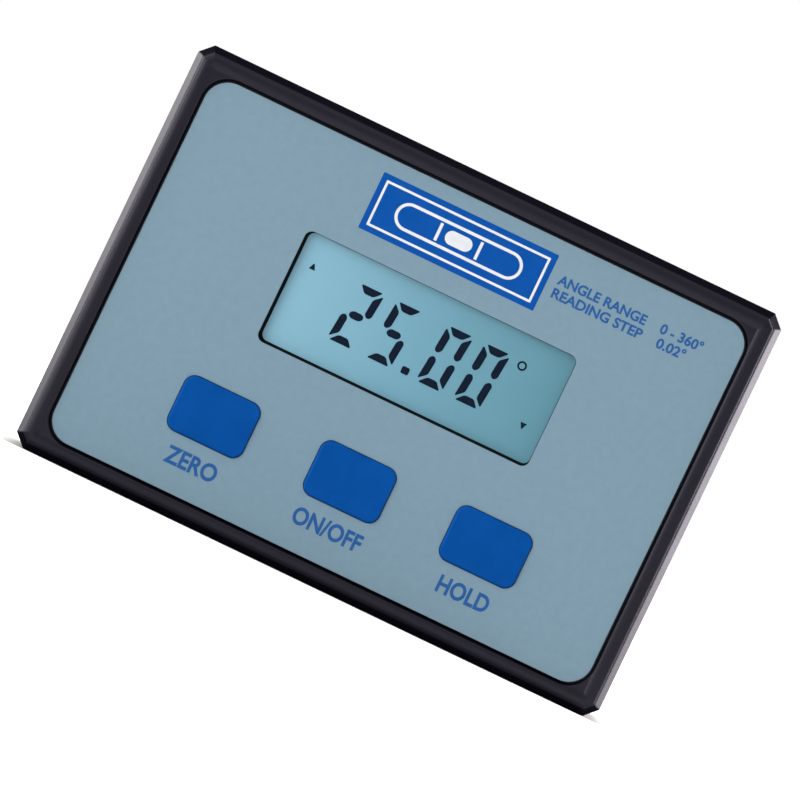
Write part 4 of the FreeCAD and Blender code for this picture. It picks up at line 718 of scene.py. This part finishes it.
def battery_lead(name, route):
    """A lead along its route, in place of the plain one."""
    slot = name.replace("battery_", "")
    wire = dress(name + "_wire", lead_curve(name + "_wire", route), slot)
    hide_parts(name)


battery_lead("battery_lead_red", RED_ROUTE)
battery_lead("battery_lead_black", BLACK_ROUTE)

# %% [markdown]
# The strip of foam between the battery and its bay is soft: the battery presses its middle flat, and its
# edges pull in to a thin rounded seam. Its open cells leave little pits all over. A grid of points on each
# of its two faces carries both, and the two grids meet along the edge.

# %% Foam strip behind the battery
FOAM_STEPS = (44, 60)
EDGE_POWER, CORNER_PULL, PIT_SIZE, PIT_DEPTH = 10, 0.04, 0.7, 0.12


def foam_point(low, high, across, up, side):
    """A point of the foam: across and up run from -1 to 1, and side is -1 in front and 1 behind."""
    middle, half = (low + high) / 2, (high - low) / 2
    full = math.sqrt((1 - across ** EDGE_POWER) * (1 - up ** EDGE_POWER))
    pulled = 1 - CORNER_PULL * (across * up) ** EDGE_POWER
    place = Vector((middle.x + half.x * across * pulled, middle.y, middle.z + half.z * up * pulled))
    pit = abs(turbulence.noise(place / (PIT_SIZE * MM) + Vector((0, side, 0)))) * PIT_DEPTH * MM
    place.y += side * max(half.y - pit, 0) * full
    return place


def shares(steps):
    """Even places from -1 to 1."""
    return [2 * step / steps - 1 for step in range(steps + 1)]


def foam_side(drawing, low, high, side):
    """The grid of faces on one side of the foam."""
    rows = [[drawing.verts.new(foam_point(low, high, across, up, side)) for across in shares(FOAM_STEPS[0])]
            for up in shares(FOAM_STEPS[1])]
    for row, above in zip(rows, rows[1:]):
        for i in range(FOAM_STEPS[0]):
            drawing.faces.new([row[i], row[i + 1], above[i + 1], above[i]])


def foam_strip():
    """The foam as a closed mesh in place of the plain block."""
    low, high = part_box("battery_foam")
    drawing = bmesh.new()
    for side in (-1, 1):
        foam_side(drawing, low, high, side)
    bmesh.ops.remove_doubles(drawing, verts=drawing.verts, dist=0.001 * MM)
    mesh = closed_mesh("foam_strip", drawing)
    mesh.shade_smooth()
    strip = dress("foam_strip", mesh, "foam_grey")
    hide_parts("battery_foam")
    print("foam strip:", len(mesh.vertices), "points")


foam_strip()

# %% [markdown]
# A catalogue picture of such a level stands on pure white. The floor is a pale matt sheet that keeps the
# soft shadow. What the camera, a mirror or a pane sees of it also gets some light of its own, which lifts
# the lit floor to white without putting more light on the level. That light fades out over the last few
# millimetres to the level's foot, which paints a contact shadow there. From below the sheet is clear, so
# that it doesn't hide the level from somebody who looks up at it.

# %% Floor and backdrop
SEEN_BY = ("Is Camera Ray", "Is Glossy Ray", "Is Transmission Ray")
FLOOR_SIZE, FLOOR_LEVEL = 12.0, -0.05 * MM
FLOOR_GREYS = (0.66, 0.7)
FLOOR_GLOW = 0.9
CONTACT_SHADE = 4 * MM


def seen_share(tree):
    """1 for the rays of camera, mirror and glass, and 0 for all others."""
    rays = add_node(tree, "ShaderNodeLightPath").outputs
    share = rays[SEEN_BY[0]]
    for kind in SEEN_BY[1:]:
        share = calculate(tree, "MAXIMUM", share, rays[kind])
    return share


def glow_with_painted_contact_shadow(tree, place):
    """FLOOR_GLOW out on the floor, falling to nothing over the last few millimetres to the level's foot as
    painted contact shadow.
    """
    middle = (made_box[0] + made_box[1]) / 2
    reach = (made_box[1] - made_box[0]) / 2
    apart = calculate_way(tree, "ABSOLUTE", calculate_way(tree, "SUBTRACT", place, middle))
    beyond = axes_of(tree, calculate_way(tree, "SUBTRACT", apart, reach))
    # The fade near the foot is a painted contact shadow.
    return blend(tree, calculate(tree, "MAXIMUM", beyond["X"], beyond["Y"]),
                 (0, CONTACT_SHADE), (0, FLOOR_GLOW))


def one_sided(tree, shader):
    """The shader on the upper side, and nothing at all on the lower one."""
    below = add_node(tree, "ShaderNodeNewGeometry").outputs["Backfacing"]
    clear = add_node(tree, "ShaderNodeBsdfTransparent").outputs["BSDF"]
    return add_node(tree, "ShaderNodeMixShader", {0: below, 1: shader, 2: clear}).outputs["Shader"]


def floor_material():
    """Matt and pale, with a glow that only camera, mirror and glass see."""
    material = bpy.data.materials.new("pale_floor")
    material.use_nodes = True
    tree = material.node_tree
    tree.nodes.remove(tree.nodes["Principled BSDF"])
    place = add_node(tree, "ShaderNodeTexCoord").outputs["Object"]
    ramp = add_node(tree, "ShaderNodeValToRGB", {"Fac": noise(tree, place, 400)})
    for stop, grey in zip(ramp.color_ramp.elements, FLOOR_GREYS):
        stop.color = (grey, grey, grey, 1)
    matt = add_node(tree, "ShaderNodeBsdfDiffuse", {"Color": ramp.outputs["Color"]}).outputs["BSDF"]
    strength = calculate(tree, "MULTIPLY", seen_share(tree), glow_with_painted_contact_shadow(tree, place))
    glow = add_node(tree, "ShaderNodeEmission", {"Strength": strength}).outputs["Emission"]
    both = add_node(tree, "ShaderNodeAddShader", {0: matt, 1: glow}).outputs["Shader"]
    tree.links.new(one_sided(tree, both), tree.nodes["Material Output"].inputs["Surface"])
    return material


def pale_floor():
    """A large sheet just under the level."""
    half = FLOOR_SIZE / 2
    mesh = bpy.data.meshes.new("floor")
    corners = [(-half, -half), (half, -half), (half, half), (-half, half)]
    mesh.from_pydata([(x, y, FLOOR_LEVEL) for x, y in corners], [], [(0, 1, 2, 3)])
    mesh.materials.append(floor_material())
    floor = bpy.data.objects.new("floor", mesh)
    bpy.context.scene.collection.objects.link(floor)
    print("floor:", FLOOR_SIZE, "m wide")


pale_floor()

# %% [markdown]
# Soft studio light: the room itself gives an even light, and shows as plain white to the camera and in
# everything that shines. A broad lamp above and in front fills the panel, and one tall soft box at each side
# draws the bright lines along the frame's left and right bevels. A third one, at the left front, carries the
# left line over onto the rim, and a lamp behind lights the back cover.

# %% Light
ROOM_LIGHT = 0.26
world = bpy.data.worlds.new("studio")
world.use_nodes = True
bpy.context.scene.world = world
sky = world.node_tree
background = sky.nodes["Background"]
sky.links.new(blend(sky, seen_share(sky), (0, 1), (ROOM_LIGHT, 1.0)), background.inputs["Strength"])
background.inputs["Color"].default_value = (1, 1, 1, 1)

MIDDLE = (made_box[0] + made_box[1]) / 2


def soft_box(name, azimuth, elevation, distance, size, glow, tint=(1, 1, 1)):
    """A soft box that looks at the level. Azimuth 0 is in front and 90 at its right."""
    lamp = bpy.data.lights.new(name, "AREA")
    lamp.shape = "RECTANGLE"
    lamp.size, lamp.size_y = size
    lamp.energy = glow * math.pi * size[0] * size[1]
    lamp.color = tint
    box = bpy.data.objects.new(name, lamp)
    bpy.context.scene.collection.objects.link(box)
    turn, lift = math.radians(azimuth), math.radians(elevation)
    way = Vector((math.sin(turn) * math.cos(lift), -math.cos(turn) * math.cos(lift), math.sin(lift)))
    box.location = MIDDLE + way * distance
    box.rotation_euler = way.to_track_quat("Z", "Y").to_euler()


BROAD, SQUARE, TALL = (0.9, 0.7), (0.74, 0.8), (0.55, 0.9)
soft_box("front_fill", azimuth=-30, elevation=45, distance=1.3, size=BROAD, glow=1.3)
soft_box("left_strip", azimuth=-48, elevation=2, distance=1.1, size=SQUARE, glow=5.6)
soft_box("left_box", azimuth=-97, elevation=14, distance=0.9, size=TALL, glow=6.2, tint=(1, 0.955, 0.87))
soft_box("right_box", azimuth=101, elevation=20, distance=0.9, size=TALL, glow=12, tint=(1, 0.92, 0.9))
soft_box("back_fill", azimuth=180, elevation=35, distance=1.2, size=BROAD, glow=3)
print("soft boxes:", len(bpy.data.lights))

# %% [markdown]
# The picture is taken straight from the front with a long lens, and the level leans 25.6 degrees clockwise
# in it. Leaning the camera the other way gives the same picture and leaves the level standing square. The
# camera aims a little below the middle of the level, because the level sits above the middle of the frame.

# %% Camera
LEAN = math.radians(25.59)
PIXELS_PER_MM = 6.339
IMAGE_SIDE = 800
LEVEL_AT = (398.96, 380.66)
DISTANCE = 1.1
SENSOR = 36

right = Vector((math.cos(LEAN), 0, math.sin(LEAN)))
up = Vector((-math.sin(LEAN), 0, math.cos(LEAN)))
shift_right = (LEVEL_AT[0] - IMAGE_SIDE / 2) / PIXELS_PER_MM * MM
shift_up = (IMAGE_SIDE / 2 - LEVEL_AT[1]) / PIXELS_PER_MM * MM
front_middle = Vector((MIDDLE.x, made_box[0].y, MIDDLE.z))
aim = front_middle - right * shift_right - up * shift_up
lens = bpy.data.cameras.new("camera")
lens.sensor_width = SENSOR
lens.lens = SENSOR * DISTANCE / (IMAGE_SIDE / PIXELS_PER_MM * MM)
lens.clip_start, lens.clip_end = 0.05, 50
camera = bpy.data.objects.new("camera", lens)
bpy.context.scene.collection.objects.link(camera)
away = Vector((0, -1, 0))
camera.matrix_world = Matrix((right, up, away)).transposed().to_4x4()
camera.location = aim + away * DISTANCE
bpy.context.scene.camera = camera
bpy.context.scene.view_settings.view_transform = "Standard"
print("lens:", round(lens.lens), "mm at", DISTANCE, "m")
